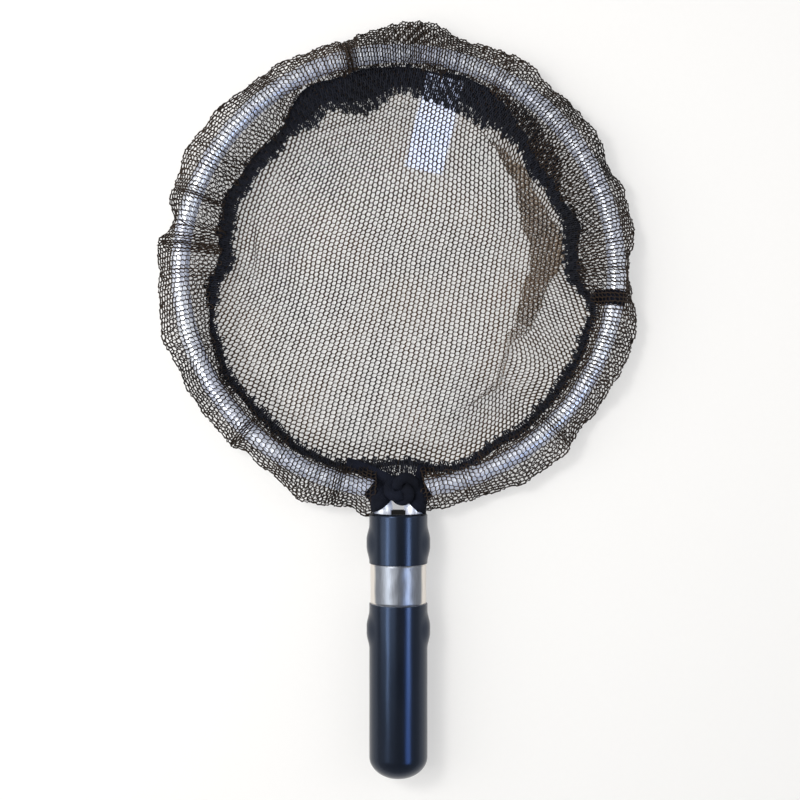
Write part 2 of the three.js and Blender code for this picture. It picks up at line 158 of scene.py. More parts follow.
def turn_hump(angles, degrees, width_degrees):
    """A hump at an angle round the hoop, which wraps round."""
    off = (angles - math.radians(degrees) + math.pi) % TAU - math.pi
    return hump(off, 0, math.radians(width_degrees))


def full_turn(count):
    """Even angles round a full turn."""
    return np.arange(count) / count * TAU


def line_marks(points):
    """Distance along a line to each of its points."""
    steps = np.linalg.norm(np.diff(points, axis=0), axis=1)
    return np.concatenate([[0], np.cumsum(steps)])


def new_piece(name, points, faces, material, slot, nodes=()):
    mesh = bpy.data.meshes.new(name)
    mesh.from_pydata(np.asarray(points).tolist(), [], faces)
    mesh.update()
    mesh.polygons.foreach_set("use_smooth", [True] * len(mesh.polygons))
    mesh.materials.append(material)
    piece = bpy.data.objects.new(name, mesh)
    bpy.context.scene.collection.objects.link(piece)
    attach(piece, "root")
    if nodes:
        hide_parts(*nodes)
    return piece


def sharp_above(piece, degrees):
    """Keeps the edges crisp where two faces meet at more than an angle."""
    piece.data.set_sharp_from_angle(angle=math.radians(degrees))


def ring_faces(rings, count, closed=True):
    """Quads between rings of as many points each."""
    faces = []
    for i in range(rings if closed else rings - 1):
        here = i * count
        there = ((i + 1) % rings) * count
        for j in range(count):
            k = (j + 1) % count
            faces.append((here + j, here + k, there + k, there + j))
    return faces


def loft(rings, capped=False):
    """Points and faces through rings, closed on itself or with flat ends."""
    rings = np.asarray(rings)
    count = rings.shape[1]
    faces = ring_faces(len(rings), count, closed=not capped)
    if capped:
        last = (len(rings) - 1) * count
        faces.append(tuple(range(count))[::-1])
        faces.append(tuple(last + j for j in range(count)))
    return rings.reshape(-1, 3), faces


def outward(points, faces):
    """Turns all faces over if they enclose a negative volume."""
    volume = 0.0
    for face in faces:
        a = points[face[0]]
        for b, c in zip(face[1:-1], face[2:]):
            volume += float(np.dot(a, np.cross(points[b], points[c])))
    return [tuple(reversed(face)) for face in faces] if volume < 0 else faces


def joined(meshes):
    """Points and faces of several closed meshes as one, each turned outward."""
    points, faces = [], []
    start = 0
    for own, own_faces in meshes:
        faces += [tuple(start + i for i in face) for face in outward(own, own_faces)]
        points.append(own)
        start += len(own)
    return np.concatenate(points), faces


def solid_piece(name, rings, material, capped=False, **where):
    return new_piece(name, *joined([loft(rings, capped)]), material, **where)


# Finishes


def shade(tint, times):
    return tuple(min(1.0, channel * times) for channel in tint)


class Look:
    """The shader nodes of a material or a world."""

    def __init__(self, owner):
        owner.use_nodes = True
        self.nodes = owner.node_tree.nodes
        self.links = owner.node_tree.links

    def fill(self, node, inputs):
        """Sets a node's inputs. One that is given another node's output is linked to it."""
        for name, value in inputs.items():
            if isinstance(value, bpy.types.NodeSocket):
                self.links.new(value, node.inputs[name])
            else:
                node.inputs[name].default_value = value

    def add(self, kind, inputs=None, **settings):
        node = self.nodes.new("ShaderNode" + kind)
        for name, value in settings.items():
            setattr(node, name, value)
        self.fill(node, inputs or {})
        return node

    def surface(self, inputs):
        self.fill(self.nodes["Principled BSDF"], inputs)

    def spot(self, stretch=(1, 1, 1)):
        """Place on the piece, stretched along its axes."""
        place = self.add("TexCoord").outputs["Object"]
        return self.add("Mapping", {"Vector": place, "Scale": stretch}).outputs["Vector"]

    def noise(self, scale, detail, stretch=(1, 1, 1)):
        inputs = {"Vector": self.spot(stretch), "Scale": scale, "Detail": detail, "Roughness": 0.55}
        return self.add("TexNoise", inputs).outputs["Fac"]

    def blend(self, share, low, high, start=0.35, stop=0.65):
        """A colour that turns from one into another as a share goes from start to stop."""
        ramp = self.add("ValToRGB", {"Fac": share})
        for element, place, tint in zip(ramp.color_ramp.elements, (start, stop), (low, high)):
            element.position = place
            element.color = (*tint, 1)
        return ramp.outputs["Color"]

    def clouded(self, share, tint, low, high):
        """A colour that gets darker and paler with a share."""
        return self.blend(share, shade(tint, low), shade(tint, high))

    def mix(self, share, first, second):
        inputs = {"Factor": share, "A": first, "B": second}
        return self.add("Mix", inputs, data_type="RGBA").outputs["Result"]

    def spread(self, share, low, high):
        """A value that goes from low to high with a share."""
        return self.add("MapRange", {"Value": share, "To Min": low, "To Max": high}).outputs["Result"]

    def bump(self, height, strength, depth, **onto):
        inputs = {"Height": height, "Strength": strength, "Distance": depth, **onto}
        return self.add("Bump", inputs).outputs["Normal"]


def polished_tube(look, finishes):
    clouds = look.noise(scale=55, detail=4)
    scratches = look.noise(scale=900, detail=2, stretch=(1, 1, 6))
    look.surface(
        {
            # The metal's bluish tint is a painted reflection of a blue sky
            "Base Color": look.clouded(clouds, finishes.bright_metal_and_sky_tint, low=0.86, high=1.1),
            "Roughness": look.spread(clouds, low=0.3, high=0.42),
            "Normal": look.bump(scratches, strength=0.08, depth=0.2 * MM),
            "Metallic": 0.5,
            # A little of its own light makes up for the light that the net over the tube keeps off it
            "Emission Color": (0.55, 0.66, 1.0, 1),
            "Emission Strength": 0.15,
        }
    )


# Colour painted on the foil's sides: a painted reflection of the pale table rather than of the room
FOIL_PAINTED_REFLECTION = (0.78, 0.73, 0.67, 1)


def bare_foil(look, finishes):
    grain = look.noise(scale=160, detail=3, stretch=(14, 1, 14))
    creases = look.noise(scale=120, detail=3)
    front = look.clouded(grain, finishes.foil, low=0.85, high=1.1)
    # Painted reflection: where the foil turns away from the camera it takes the table's colour
    facing = look.add("LayerWeight").outputs["Facing"]
    painted_reflection_share = look.blend(facing, (0, 0, 0), (1, 1, 1), start=0.4, stop=0.52)
    look.surface(
        {
            "Base Color": look.mix(painted_reflection_share, front, FOIL_PAINTED_REFLECTION),
            "Roughness": look.spread(grain, low=0.3, high=0.42),
            "Normal": look.bump(creases, strength=0.22, depth=0.6 * MM),
            "Metallic": 0.95,
        }
    )


def shrunk_sleeve(look, finishes):
    clouds = look.noise(scale=70, detail=4, stretch=(1, 0.35, 1))
    drawn = look.noise(scale=420, detail=3, stretch=(1, 0.12, 1))
    skin = look.noise(scale=2600, detail=2)
    streaks = look.bump(drawn, strength=0.05, depth=0.5 * MM)
    look.surface(
        {
            "Base Color": look.clouded(clouds, finishes.sleeve, low=0.75, high=1.35),
            "Roughness": look.spread(clouds, low=0.2, high=0.27),
            # A painted reflection: the blue tint of the gloss stands in for reflected blue sky
            "Specular Tint": (*finishes.sleeve_painted_sky_tint, 1),
            "Normal": look.bump(skin, strength=0.1, depth=0.1 * MM, Normal=streaks),
        }
    )


def moulded_plug(look, finishes):
    clouds = look.noise(scale=180, detail=4)
    grain = look.noise(scale=1800, detail=2)
    look.surface(
        {
            "Base Color": look.clouded(clouds, finishes.plug, low=0.8, high=1.6),
            "Roughness": look.spread(clouds, low=0.6, high=0.8),
            "Specular IOR Level": 0.25,
            "Normal": look.bump(grain, strength=0.2, depth=0.2 * MM),
        }
    )


# Share of a net's yarn tucked under the fold, kept on the mesh, and its colour there, painted paler as
# painted bounce light
PAINTED_FOLD_LIGHT_SHARE = "tucked"
PAINTED_FOLD_LIGHT_BROWN = (0.3, 0.235, 0.18, 1)


def knitted(look, dark, brown):
    """Yarn that is faded in clouds, and painted paler under the fold where the mesh says so: painted bounce
    light.
    """
    yarn = look.blend(look.noise(scale=24, detail=3), dark, brown, start=0.3, stop=0.75)
    tucked = look.add("Attribute", attribute_name=PAINTED_FOLD_LIGHT_SHARE).outputs["Fac"]
    fibres = look.noise(scale=4200, detail=2)
    look.surface(
        {
            # Painted light: the yarn tucked under the fold is painted a paler brown
            "Base Color": look.mix(tucked, yarn, PAINTED_FOLD_LIGHT_BROWN),
            "Normal": look.bump(fibres, strength=0.5, depth=0.2 * MM),
            "Roughness": 0.7,
            "Specular IOR Level": 0.25,
            "Sheen Weight": 0.03,
        }
    )


def faded_net(look, finishes):
    knitted(look, finishes.net_dark, finishes.net_brown)


def black_net(look, finishes):
    """Yarn of the casing, darker than the bag's."""
    knitted(look, shade(finishes.net_dark, 0.6), shade(finishes.net_brown, 0.5))


def tape_dark_net(look, finishes):
    """Gathers on the seam, in the dark colour of the tape under them."""
    knitted(look, shade(finishes.tape, 0.8), shade(finishes.tape, 1.8))


def binding_tape(look, finishes):
    clouds = look.noise(scale=90, detail=4)
    wave = {"Vector": look.spot(), "Scale": 420, "Distortion": 1.2, "Detail": 2}
    ribs = look.add("TexWave", wave, wave_type="BANDS", bands_direction="DIAGONAL").outputs["Fac"]
    look.surface(
        {
            "Base Color": look.clouded(clouds, finishes.tape, low=0.7, high=1.7),
            "Normal": look.bump(ribs, strength=0.45, depth=0.3 * MM),
            "Roughness": 0.85,
            "Specular IOR Level": 0.15,
        }
    )


def satin_label(look, finishes):
    clouds = look.noise(scale=60, detail=3)
    wave = {"Vector": look.spot(), "Scale": 700, "Distortion": 0.8}
    weave = look.add("TexWave", wave).outputs["Fac"]
    look.surface(
        {
            # The label's bluish tint is painted light from a blue sky
            "Base Color": look.clouded(clouds, finishes.label, low=0.93, high=1.03),
            "Normal": look.bump(weave, strength=0.2, depth=0.1 * MM),
            "Roughness": 0.55,
            "Sheen Weight": 0.15,
            # A little of its own light makes up for the light that the net over the label keeps off it
            "Emission Color": (0.64, 0.72, 1.0, 1),
            "Emission Strength": 0.62,
        }
    )


FINISHES = {
    "polished_tube": polished_tube,
    "bare_foil": bare_foil,
    "shrunk_sleeve": shrunk_sleeve,
    "moulded_plug": moulded_plug,
    "faded_net": faded_net,
    "black_net": black_net,
    "tape_dark_net": tape_dark_net,
    "binding_tape": binding_tape,
    "satin_label": satin_label,
}


def finish(name):
    """The material of a finish, made the first time that it is asked for."""
    if name not in bpy.data.materials:
        FINISHES[name](Look(bpy.data.materials.new(name)), bpy.context.scene.hand_net_finishes)
    return bpy.data.materials[name]


# Hoop and handle


def neck_angle(tube):
    return math.asin((tube.leg_offset + tube.neck_bend) / (tube.hoop_radius + tube.neck_bend))


def bend_centre(tube):
    across = tube.leg_offset + tube.neck_bend
    return across, -math.sqrt((tube.hoop_radius + tube.neck_bend) ** 2 - across**2)


def arc_points(centre, radius, start, stop, count):
    turns = np.linspace(start, stop, count)
    return np.stack([centre[0] + radius * np.cos(turns), centre[1] + radius * np.sin(turns)], 1)


def bend_points(tube, side, count):
    """The neck bend's centreline, from the ring to the leg."""
    across, along = bend_centre(tube)
    points = arc_points((across, along), tube.neck_bend, math.pi / 2 + neck_angle(tube), math.pi, count)
    return points * [side, 1]


def hoop_path(tube):
    """Centreline of the whole tube: left leg, ring and right leg."""
    neck = neck_angle(tube)
    along = np.linspace(bend_centre(tube)[1], HOOP_LOW.y, 12)
    leg = np.stack([np.full(len(along), tube.leg_offset), along], 1)
    right = np.concatenate([bend_points(tube, 1, count=16), leg[1:]])
    ring = arc_points((0, 0), tube.hoop_radius, 1.5 * math.pi - neck, neck - math.pi / 2, count=220)
    left = right[::-1] * [-1, 1]
    flat = np.concatenate([left[:-1], ring, right[1:]])
    return np.concatenate([flat, np.full((len(flat), 1), HOOP_LEVEL)], 1)


def flat_sweep(path, radius, sides):
    """Rings of a round section along a level path."""
    across = np.cross(unit(np.gradient(path, axis=0)), UP)
    turns = full_turn(sides)[None, :, None]
    return path[:, None] + (across[:, None] * np.cos(turns) + UP * np.sin(turns)) * radius


class HANDNET_OT_hoop(bpy.types.Operator):
    """Bent tube of the hoop with its two legs"""

    bl_idname = "handnet.hoop"
    bl_label = "Hoop tube"

    def execute(self, context):
        tube = context.scene.hand_net_tube
        path = hoop_path(tube)
        outer = flat_sweep(path, tube.tube_radius, sides=32)
        inner = flat_sweep(path, tube.tube_radius - tube.tube_wall, sides=32)
        rings = np.concatenate([outer, inner[::-1]])
        metal = finish("polished_tube")
        piece = solid_piece("hoop_tube_bent", rings, metal, nodes=["hoop_tube"], slot="bright_tube")
        sharp_above(piece, degrees=40)
        return {"FINISHED"}


def depths(node):
    """Depths below the handle's mouth of a node's near and far ends."""
    low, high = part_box(node)
    return MOUTH - high.y, MOUTH - low.y


def turned_shell(profile, sides, extra=None):
    """Rings of a closed profile of (depth below the mouth, radius), turned about the handle's axis."""
    depth, radius = np.asarray(profile, float).T
    rings = []
    for turn in full_turn(sides):
        out = radius if extra is None else radius + extra(depth, turn)
        rings.append(np.stack([out * math.cos(turn), MOUTH - depth, HOOP_LEVEL + out * math.sin(turn)], 1))
    return np.asarray(rings)


def rivet_bulge(sleeves, radius, rivet_depth):
    """How far a sleeve is pushed out over the rivet heads at the handle's two sides, with a faint ripple."""
    head = 2 * MM
    ripple_height = 0.02 * MM
    ripple_length = 6 * MM

    def push(depth, turn):
        around = math.asin(abs(math.sin(turn))) * radius
        distance = np.hypot(depth - rivet_depth, around)
        lift = sleeves.bulge * (1 - smooth((distance - head) / (sleeves.bulge_reach - head)))
        ripple = np.sin(depth / ripple_length + 2 * math.sin(3 * turn)) * np.sin(2 * turn + 1)
        return lift + ripple_height * ripple

    return push


def stretch_between(start, stop, radius, step=1.1 * MM):
    """A straight stretch of a profile, in even steps."""
    count = max(2, int(round(abs(stop - start) / step)))
    return [(depth, radius) for depth in np.linspace(start, stop, count)]


def rounded_end(depth, outer, inner, way):
    """The cut end of a sleeve, from its outside to its inside. way is +1 at the butt's end of it."""
    soft = 0.22 * MM
    turns = np.linspace(0, math.pi / 2, 4)
    first = [(depth + way * soft * (math.sin(t) - 1), outer - soft * (1 - math.cos(t))) for t in turns]
    second = [(depth + way * soft * (math.cos(t) - 1), inner + soft * (1 - math.sin(t))) for t in turns]
    return first + second


def dome(rise, radius, turns):
    """Profile of a rounded nose at the butt."""
    return [(NOSE_START + rise * math.sin(t), radius * math.cos(t)) for t in turns]


def collar_profile(sleeves, inner, outer):
    """Up the collar's outside, round its drawn-in lip, and down its inside to the cut end."""
    lip, end = depths("collar_sleeve")
    cut = end - 0.3 * MM
    draw = sleeves.lip_draw
    turns = np.linspace(0, math.pi / 2, 9)
    rolled = [(lip + draw * (1 - math.sin(t)), outer - draw * (1 - math.cos(t))) for t in turns]
    under = [(lip + 0.4 * sleeves.wall, outer - draw - 0.5 * sleeves.wall), (0.3 * MM, inner)]
    outside = stretch_between(cut, lip + draw + 0.4 * MM, outer)
    inside = stretch_between(1.2 * MM, cut, inner)
    return outside + rolled + under + inside + rounded_end(end, outer, inner, 1)[::-1]


def grip_profile(sleeves, inner, outer):
    """The grip's cut end, down its outside, round the edge of the bare nose, and up its inside."""
    start, _ = depths("grip_sleeve")
    near, far = start + 0.6 * MM, NOSE_START - 1 * MM
    rise = sleeves.nose_dome + sleeves.gap
    turns = np.linspace(0, math.acos(sleeves.nose_opening / inner), 18)
    outside = stretch_between(near, far, outer) + dome(rise + sleeves.wall, outer, turns)
    inside = dome(rise, inner, turns[::-1]) + stretch_between(far, near, inner, 2.2 * MM)
    return rounded_end(start, outer, inner, -1)[::-1] + outside + inside


class HANDNET_OT_sleeves(bpy.types.Operator):
    """Shrunk collar and grip on the handle, with the bulges over the rivet heads"""

    bl_idname = "handnet.sleeves"
    bl_label = "Shrunk sleeves"

    def execute(self, context):
        sleeves = context.scene.hand_net_sleeves
        inner = context.scene.hand_net_tube.handle_radius + sleeves.gap
        outer = inner + sleeves.wall
        for name, node, rivet, profile in (
            ("collar_shrunk", "collar_sleeve", "upper_cross_rivet", collar_profile(sleeves, inner, outer)),
            ("grip_shrunk", "grip_sleeve", "lower_cross_rivet", grip_profile(sleeves, inner, outer)),
        ):
            bulge = rivet_bulge(sleeves, inner, sum(depths(rivet)) / 2)
            rings = turned_shell(profile, sides=96, extra=bulge)
            solid_piece(name, rings, finish("shrunk_sleeve"), nodes=[node], slot="shrink_sleeve")
        return {"FINISHED"}


def butt_profile(sleeves, tube):
    """The butt plug's spigot in the tube, its nose, and the dimple in the nose."""
    axis = 0.02 * MM
    spigot = tube.handle_radius - 1.8 * MM
    back = NOSE_START - 14 * MM
    tip = NOSE_START + sleeves.nose_dome
    nose = dome(sleeves.nose_dome, tube.handle_radius, np.linspace(0, math.pi / 2, 22)[:-1])
    dimple = [(tip - 0.05 * MM, 1.1 * MM), (tip - 0.5 * MM, 0.8 * MM), (tip - 0.5 * MM, axis)]
    return [(back, axis), (back, spigot), (NOSE_START, spigot), *nose, *dimple]


def foil_profile(tube):
    """The foil's section, a little longer than the solid's and with soft edges."""
    gap, thickness = 0.1 * MM, 0.25 * MM
    soft, longer = 0.1 * MM, 0.2 * MM
    inner = tube.handle_radius + gap
    outer = inner + thickness
    edge = outer - soft
    start, stop = np.array(depths("foil_label")) + [-longer, longer]
    face = stretch_between(start + soft, stop - soft, outer)
    return [(start, edge), *face, (stop, edge), (stop, inner), (start, inner)]


def foil_creases(depth, turn):
    """Faint creases in the foil, and the lap underneath where its ends meet."""
    lap = 0.12 * MM * hump(turn, 1.5 * math.pi, 0.12)
    return lap + 0.04 * MM * np.sin(depth / (2.3 * MM) + 5 * math.sin(2 * turn))


def bored_plate(radius, bore, offset, front, back):
    """Points and faces of a round plate across the handle, with a bore for each leg."""
    circle = np.stack([np.cos(full_turn(48)), np.sin(full_turn(48))], 1)
    loops = [circle * radius, circle[::-1] * bore + [offset, 0], circle[::-1] * bore - [offset, 0]]
    flat = np.concatenate(loops)
    count = len(flat)
    faces = []
    for a, b, c in tessellate_polygon([[Vector((*point, 0)) for point in loop] for loop in loops]):
        first, second = flat[b] - flat[a], flat[c] - flat[a]
        face = (a, b, c) if first[0] * second[1] > first[1] * second[0] else (a, c, b)
        faces.append(face)
        faces.append(tuple(count + i for i in reversed(face)))
    for start in range(0, count, len(circle)):
        for i in range(len(circle)):
            here, there = start + i, start + (i + 1) % len(circle)
            faces.append((there, here, count + here, count + there))
    level = HOOP_LEVEL + flat[:, 1]
    ends = [np.stack([flat[:, 0], np.full(count, MOUTH - depth), level], 1) for depth in (front, back)]
    return np.concatenate(ends), faces


def neck_plug_mesh(tube):
    """Plate round the legs, with the proud bridge that shows between them."""
    bore = tube.tube_radius + 0.2 * MM
    plate_radius = 13.2 * MM
    plate_front, plate_back = 0.4 * MM, 12 * MM
    bridge_back, bridge_front = -1 * MM, 2.7 * MM
    bridge_half = 3 * MM
    rise = np.linspace(-bridge_half, bridge_half, 13)
    half = tube.leg_offset - np.sqrt(bore**2 - rise**2)
    section = np.concatenate([np.stack([half, rise], 1), np.stack([-half, rise], 1)[::-1]]) + [0, HOOP_LEVEL]
    ends = [np.insert(section, 1, MOUTH + proud, axis=1) for proud in (bridge_back, bridge_front)]
    plate = bored_plate(plate_radius, bore, tube.leg_offset, plate_front, plate_back)
    return joined([plate, loft(ends, capped=True)])


class HANDNET_OT_handle(bpy.types.Operator):
    """Plugs in both ends, bare foil label, and finishes of the tube and the rivets"""

    bl_idname = "handnet.handle"
    bl_label = "Handle"

    def execute(self, context):
        sleeves = context.scene.hand_net_sleeves
        tube = context.scene.hand_net_tube
        plastic = finish("moulded_plug")
        rings = turned_shell(butt_profile(sleeves, tube), sides=72)
        butt = solid_piece("butt_plug_nose", rings, plastic, nodes=["butt_plug"], slot="plug")
        rings = turned_shell(foil_profile(tube), sides=120, extra=foil_creases)
        solid_piece("foil_wrap", rings, finish("bare_foil"), nodes=["foil_label"], slot="foil")
        for name in ("handle_tube", "upper_cross_rivet", "lower_cross_rivet"):
            NODES[name].data.materials.clear()
            NODES[name].data.materials.append(finish("polished_tube"))
        plug = neck_plug_mesh(tube)
        neck = new_piece("neck_plug_bored", *plug, plastic, nodes=["neck_plug"], slot="plug")
        for piece in (butt, neck):
            sharp_above(piece, degrees=40)
        return {"FINISHED"}


# The net's shape: rings round the hoop, as functions of the angle

# Bunched folds of the casing: (angle in degrees, width in degrees, how much net is bunched there)
FOLDS = (
    (103, 1.5, 2.2),
    (159, 1.0, 1.2),
    (173, 1.5, 1.0),
    (226, 1.4, 1.4),
    (254, 1.3, 0.9),
    (315, 1.6, 0.8),
    (288, 1.0, 0.6),
    (62, 1.2, 0.6),
    (86, 2.0, 0.5),
)
# Lumps and dips of the casing's outer edge: (angle in degrees, width in degrees, reach in millimetres)
RUFFLES = (
    (86, 8, 5.5),
    (62, 8, 2.0),
    (103, 3, -3.0),
    (115, 4, -3.0),
    (147, 6, 2.5),
    (168, 3.5, -6.0),
    (196, 8, 1.5),
    (226, 2.2, 3.0),
    (230, 5, -4.0),
    (247, 5, 4.0),
    (262, 2.5, 4.0),
    (289, 4, -2.0),
    (300, 7, 2.5),
    (312, 6, 3.0),
    (340, 8, 2.5),
    (1, 6, -7.0),
    (25, 4, -4.0),
)
# Where the seam bulges out or is drawn in: (angle in degrees, width in degrees, millimetres outward)
SEAM_HUMPS = (
    (14, 5, 4.5),
    (156, 5, 2.5),
    (173, 5, -2.5),
    (185, 4, 3.0),
    (248, 14, 2.5),
    (268.5, 10, -5.4),
    (288, 8, 2.8),
)
# Longer stretches of the seam: (start, rise before it, stop and fall after it in degrees, millimetres)
SEAM_STRETCHES = (
    (0, 12, 38, 26, -12.0),
    (65, 10, 122, 10, 2.0),
    (130, 14, 178, 30, -9.5),
)
# Humps and stretches, given in the same way, of how far the gathered net reaches in from the seam
GATHER_HUMPS = (
    (14, 5, 2.5),
    (66, 6, 4.0),
    (102.5, 6, 7.0),
    (121, 7, 4.5),
    (195, 6, -1.5),
    (268, 9, -1.2),
)
GATHER_STRETCHES = (
    (0, 8, 50, 14, 2.2),
    (64, 20, 116, 14, 10.5),
    (138, 8, 186, 5, 3.0),
)


def humps(turn, rows):
    """Sum of humps round the hoop, each given by its angle, its width and its height."""
    return sum(height * turn_hump(turn, degrees, width) for degrees, width, height in rows)


def between(turn, start, rise, stop, fall):
    """1 from one angle in degrees to another, with a soft rise before it and a soft fall after it."""
    past = (np.degrees(turn) - start + rise) % 360
    return smooth(past / rise) * (1 - smooth((past - rise - (stop - start)) / fall))


def stretches(turn, rows):
    """Sum of stretches round the hoop, each given by the four angles of between and its height."""
    return sum(height * between(turn, *angles) for *angles, height in rows)


def waves(turn, *rows):
    """Sum of waves round the hoop, each given by how many there are, its start and its height."""
    return sum(height * np.sin(count * turn + start) for count, start, height in rows)


def seam_radius(net, turn):
    """The seam lies against the tube far and near, and is drawn in at both sides and at the neck."""
    scallop = waves(turn, (15, 2.1, 0.45), (26, 0, 0.35))
    return net.seam_reach + (humps(turn, SEAM_HUMPS) + stretches(turn, SEAM_STRETCHES) + scallop) * MM


def seam_level(net, turn):
    return net.seam_level + waves(turn, (7, 1.3, 0.7)) * MM


def tape_width(turn):
    """How far the gathered net reaches in from the seam. It lies open at the far side of the hoop."""
    plain = 3.8
    width = plain + humps(turn, GATHER_HUMPS) + stretches(turn, GATHER_STRETCHES)
    ragged = waves(turn, (11, 1, 0.07), (18, 2.6, 0.06), (31, 0, 0.05))
    fringe = 0.3 * np.sin(83 * turn + 2 * np.sin(7 * turn)) + waves(turn, (127, 1, 0.25))
    return (width * (1 + ragged) + fringe) * MM


def outer_radius(net, turn):
    return net.outer_reach + (humps(turn, RUFFLES) + waves(turn, (19, 0.4, 0.7), (31, 2, 0.5))) * MM


def outer_level(turn):
    middle = 11.5
    return (middle + waves(turn, (13, 0.8, 2.0), (22, 0, 1.4))) * MM


def folds_at(turn):
    """How high the casing's bunched folds stand over the tube, as a share."""
    return humps(turn, [(degrees, 1.6 * width, amount / 3) for degrees, width, amount in FOLDS])


def polar(reach, turn, height):
    return np.stack([reach * np.cos(turn), reach * np.sin(turn), height], -1)


# The knitted net

# Steps from a cell to two of its neighbours, in millimetres, as the net lies in the bag
STEP_A = np.array([2.41, -1.23])
STEP_B = np.array([2.915, 1.15])
# A cell's corners, in thirds of the two steps
CORNERS = np.array([(1, 1), (-1, 2), (-2, 1), (-1, -1), (1, -2), (2, -1)])
CORNER_DRAW = 0.6  # share of the way that each corner is drawn from the middle of three cells
# Thickness of the strand from each corner to the next, as a share of the strand's width
SIDES = np.array([1.3, 0.55, 1.3, 1.3, 0.55, 1.3])
# Limits of a strand's width at a cell's corner: the least square of the corner's sine that widens it,
# and the most of the shorter side that it takes up
LEAST_SINE_SQUARE = 0.15
MOST_OF_SIDE = 0.4


def flat_cells(net, low, high, keep, turn=0.0):
    """Cells of a flat cut of net, turned by an angle.

    Gives each cell's six corner numbers, and where each corner lies on the flat cut.
    """
    rotate = np.array([[math.cos(turn), math.sin(turn)], [-math.sin(turn), math.cos(turn)]])
    steps = np.array([STEP_A, STEP_B]) @ rotate * MM * net.cell_scale
    far = np.array([(x, y) for x in (low[0], high[0]) for y in (low[1], high[1])])
    bounds = far @ np.linalg.inv(steps)
    first, last = np.floor(bounds.min(0)).astype(int), np.ceil(bounds.max(0)).astype(int)
    grid = np.stack(np.meshgrid(*[np.arange(a, b + 1) for a, b in zip(first, last)], indexing="ij"), -1)
    grid = grid.reshape(-1, 2)
    grid = grid[keep(*(grid @ steps).T)]
    corners = grid[:, None] * 3 + CORNERS
    keys, cells = np.unique(corners.reshape(-1, 2), axis=0, return_inverse=True)
    # Each corner is drawn from the middle of three cells towards the point as far from each of them
    even = np.linalg.solve(steps, (steps**2).sum(1) / 2)
    draw = CORNER_DRAW * (even - steps.sum(0) / 3)
    way = np.where(keys[:, :1] % 3 == 1, 1, -1)
    return cells.reshape(-1, 6), keys @ steps / 3 + way * draw


def surface_normals(place, flat):
    small = 0.15 * MM
    along = place(flat + [small, 0]) - place(flat - [small, 0])
    across = place(flat + [0, small]) - place(flat - [0, small])
    return unit(np.cross(along, across))


def net_piece(name, net, cut, place, seed, size, yarn, nodes, tucked=None):
    """Knits a flat cut into one closed mesh of strands of a width and a height, laid out by place."""
    cells, flat = cut
    strand, height = size
    half_strand = np.broadcast_to(strand, len(flat)) / 2
    chance = np.random.default_rng(seed)
    loose = flat + chance.normal(0, net.slack * MM * net.cell_scale, flat.shape)
    points = place(loose)
    normals = surface_normals(place, loose)
    count = len(cells)
    corner = points[cells]
    ahead = np.roll(corner, -1, 1) - corner
    back = np.roll(corner, 1, 1) - corner
    shortest = np.minimum(np.linalg.norm(ahead, axis=2), np.linalg.norm(back, axis=2))
    ahead, back = unit(ahead), unit(back)
    sine = np.sqrt(np.clip(1 - (ahead * back).sum(2) ** 2, LEAST_SINE_SQUARE, 1))
    by_next = np.minimum(half_strand[cells] * SIDES / sine, MOST_OF_SIDE * shortest)
    by_last = np.minimum(half_strand[cells] * np.roll(SIDES, 1) / sine, MOST_OF_SIDE * shortest)
    holes = corner + ahead * by_last[..., None] + back * by_next[..., None]
    rise = normals[cells] * height / 2
    corner_of = cells.reshape(-1)
    uses = np.bincount(corner_of, minlength=len(points))
    rim = np.flatnonzero(uses < 3)
    rim_number = np.full(len(points), -1)
    rim_number[rim] = np.arange(len(rim))
    middle = np.zeros_like(points)
    np.add.at(middle, corner_of, holes.reshape(-1, 3))
    away = unit(points[rim] - middle[rim] / uses[rim, None])
    edge = points[rim] + away * half_strand[rim, None]
    edge_rise = normals[rim] * height / 2
    half = count * 6 + len(rim)
    top = np.concatenate([holes.reshape(-1, 3) + rise.reshape(-1, 3), edge + edge_rise])
    bottom = np.concatenate([holes.reshape(-1, 3) - rise.reshape(-1, 3), edge - edge_rise])
    faces = strand_faces(cells, corner_of, uses, rim_number, top, normals, half)
    piece = new_piece(name, np.concatenate([top, bottom]), faces, finish(yarn), slot="net", nodes=nodes)
    # The yarn tucked under the fold is painted paler by its finish, as painted bounce light
    if tucked is not None:
        one_side = np.concatenate([tucked[corner_of], tucked[rim]])
        layer = piece.data.attributes.new(PAINTED_FOLD_LIGHT_SHARE, "FLOAT", "POINT")
        layer.data.foreach_set("value", np.concatenate([one_side, one_side]))


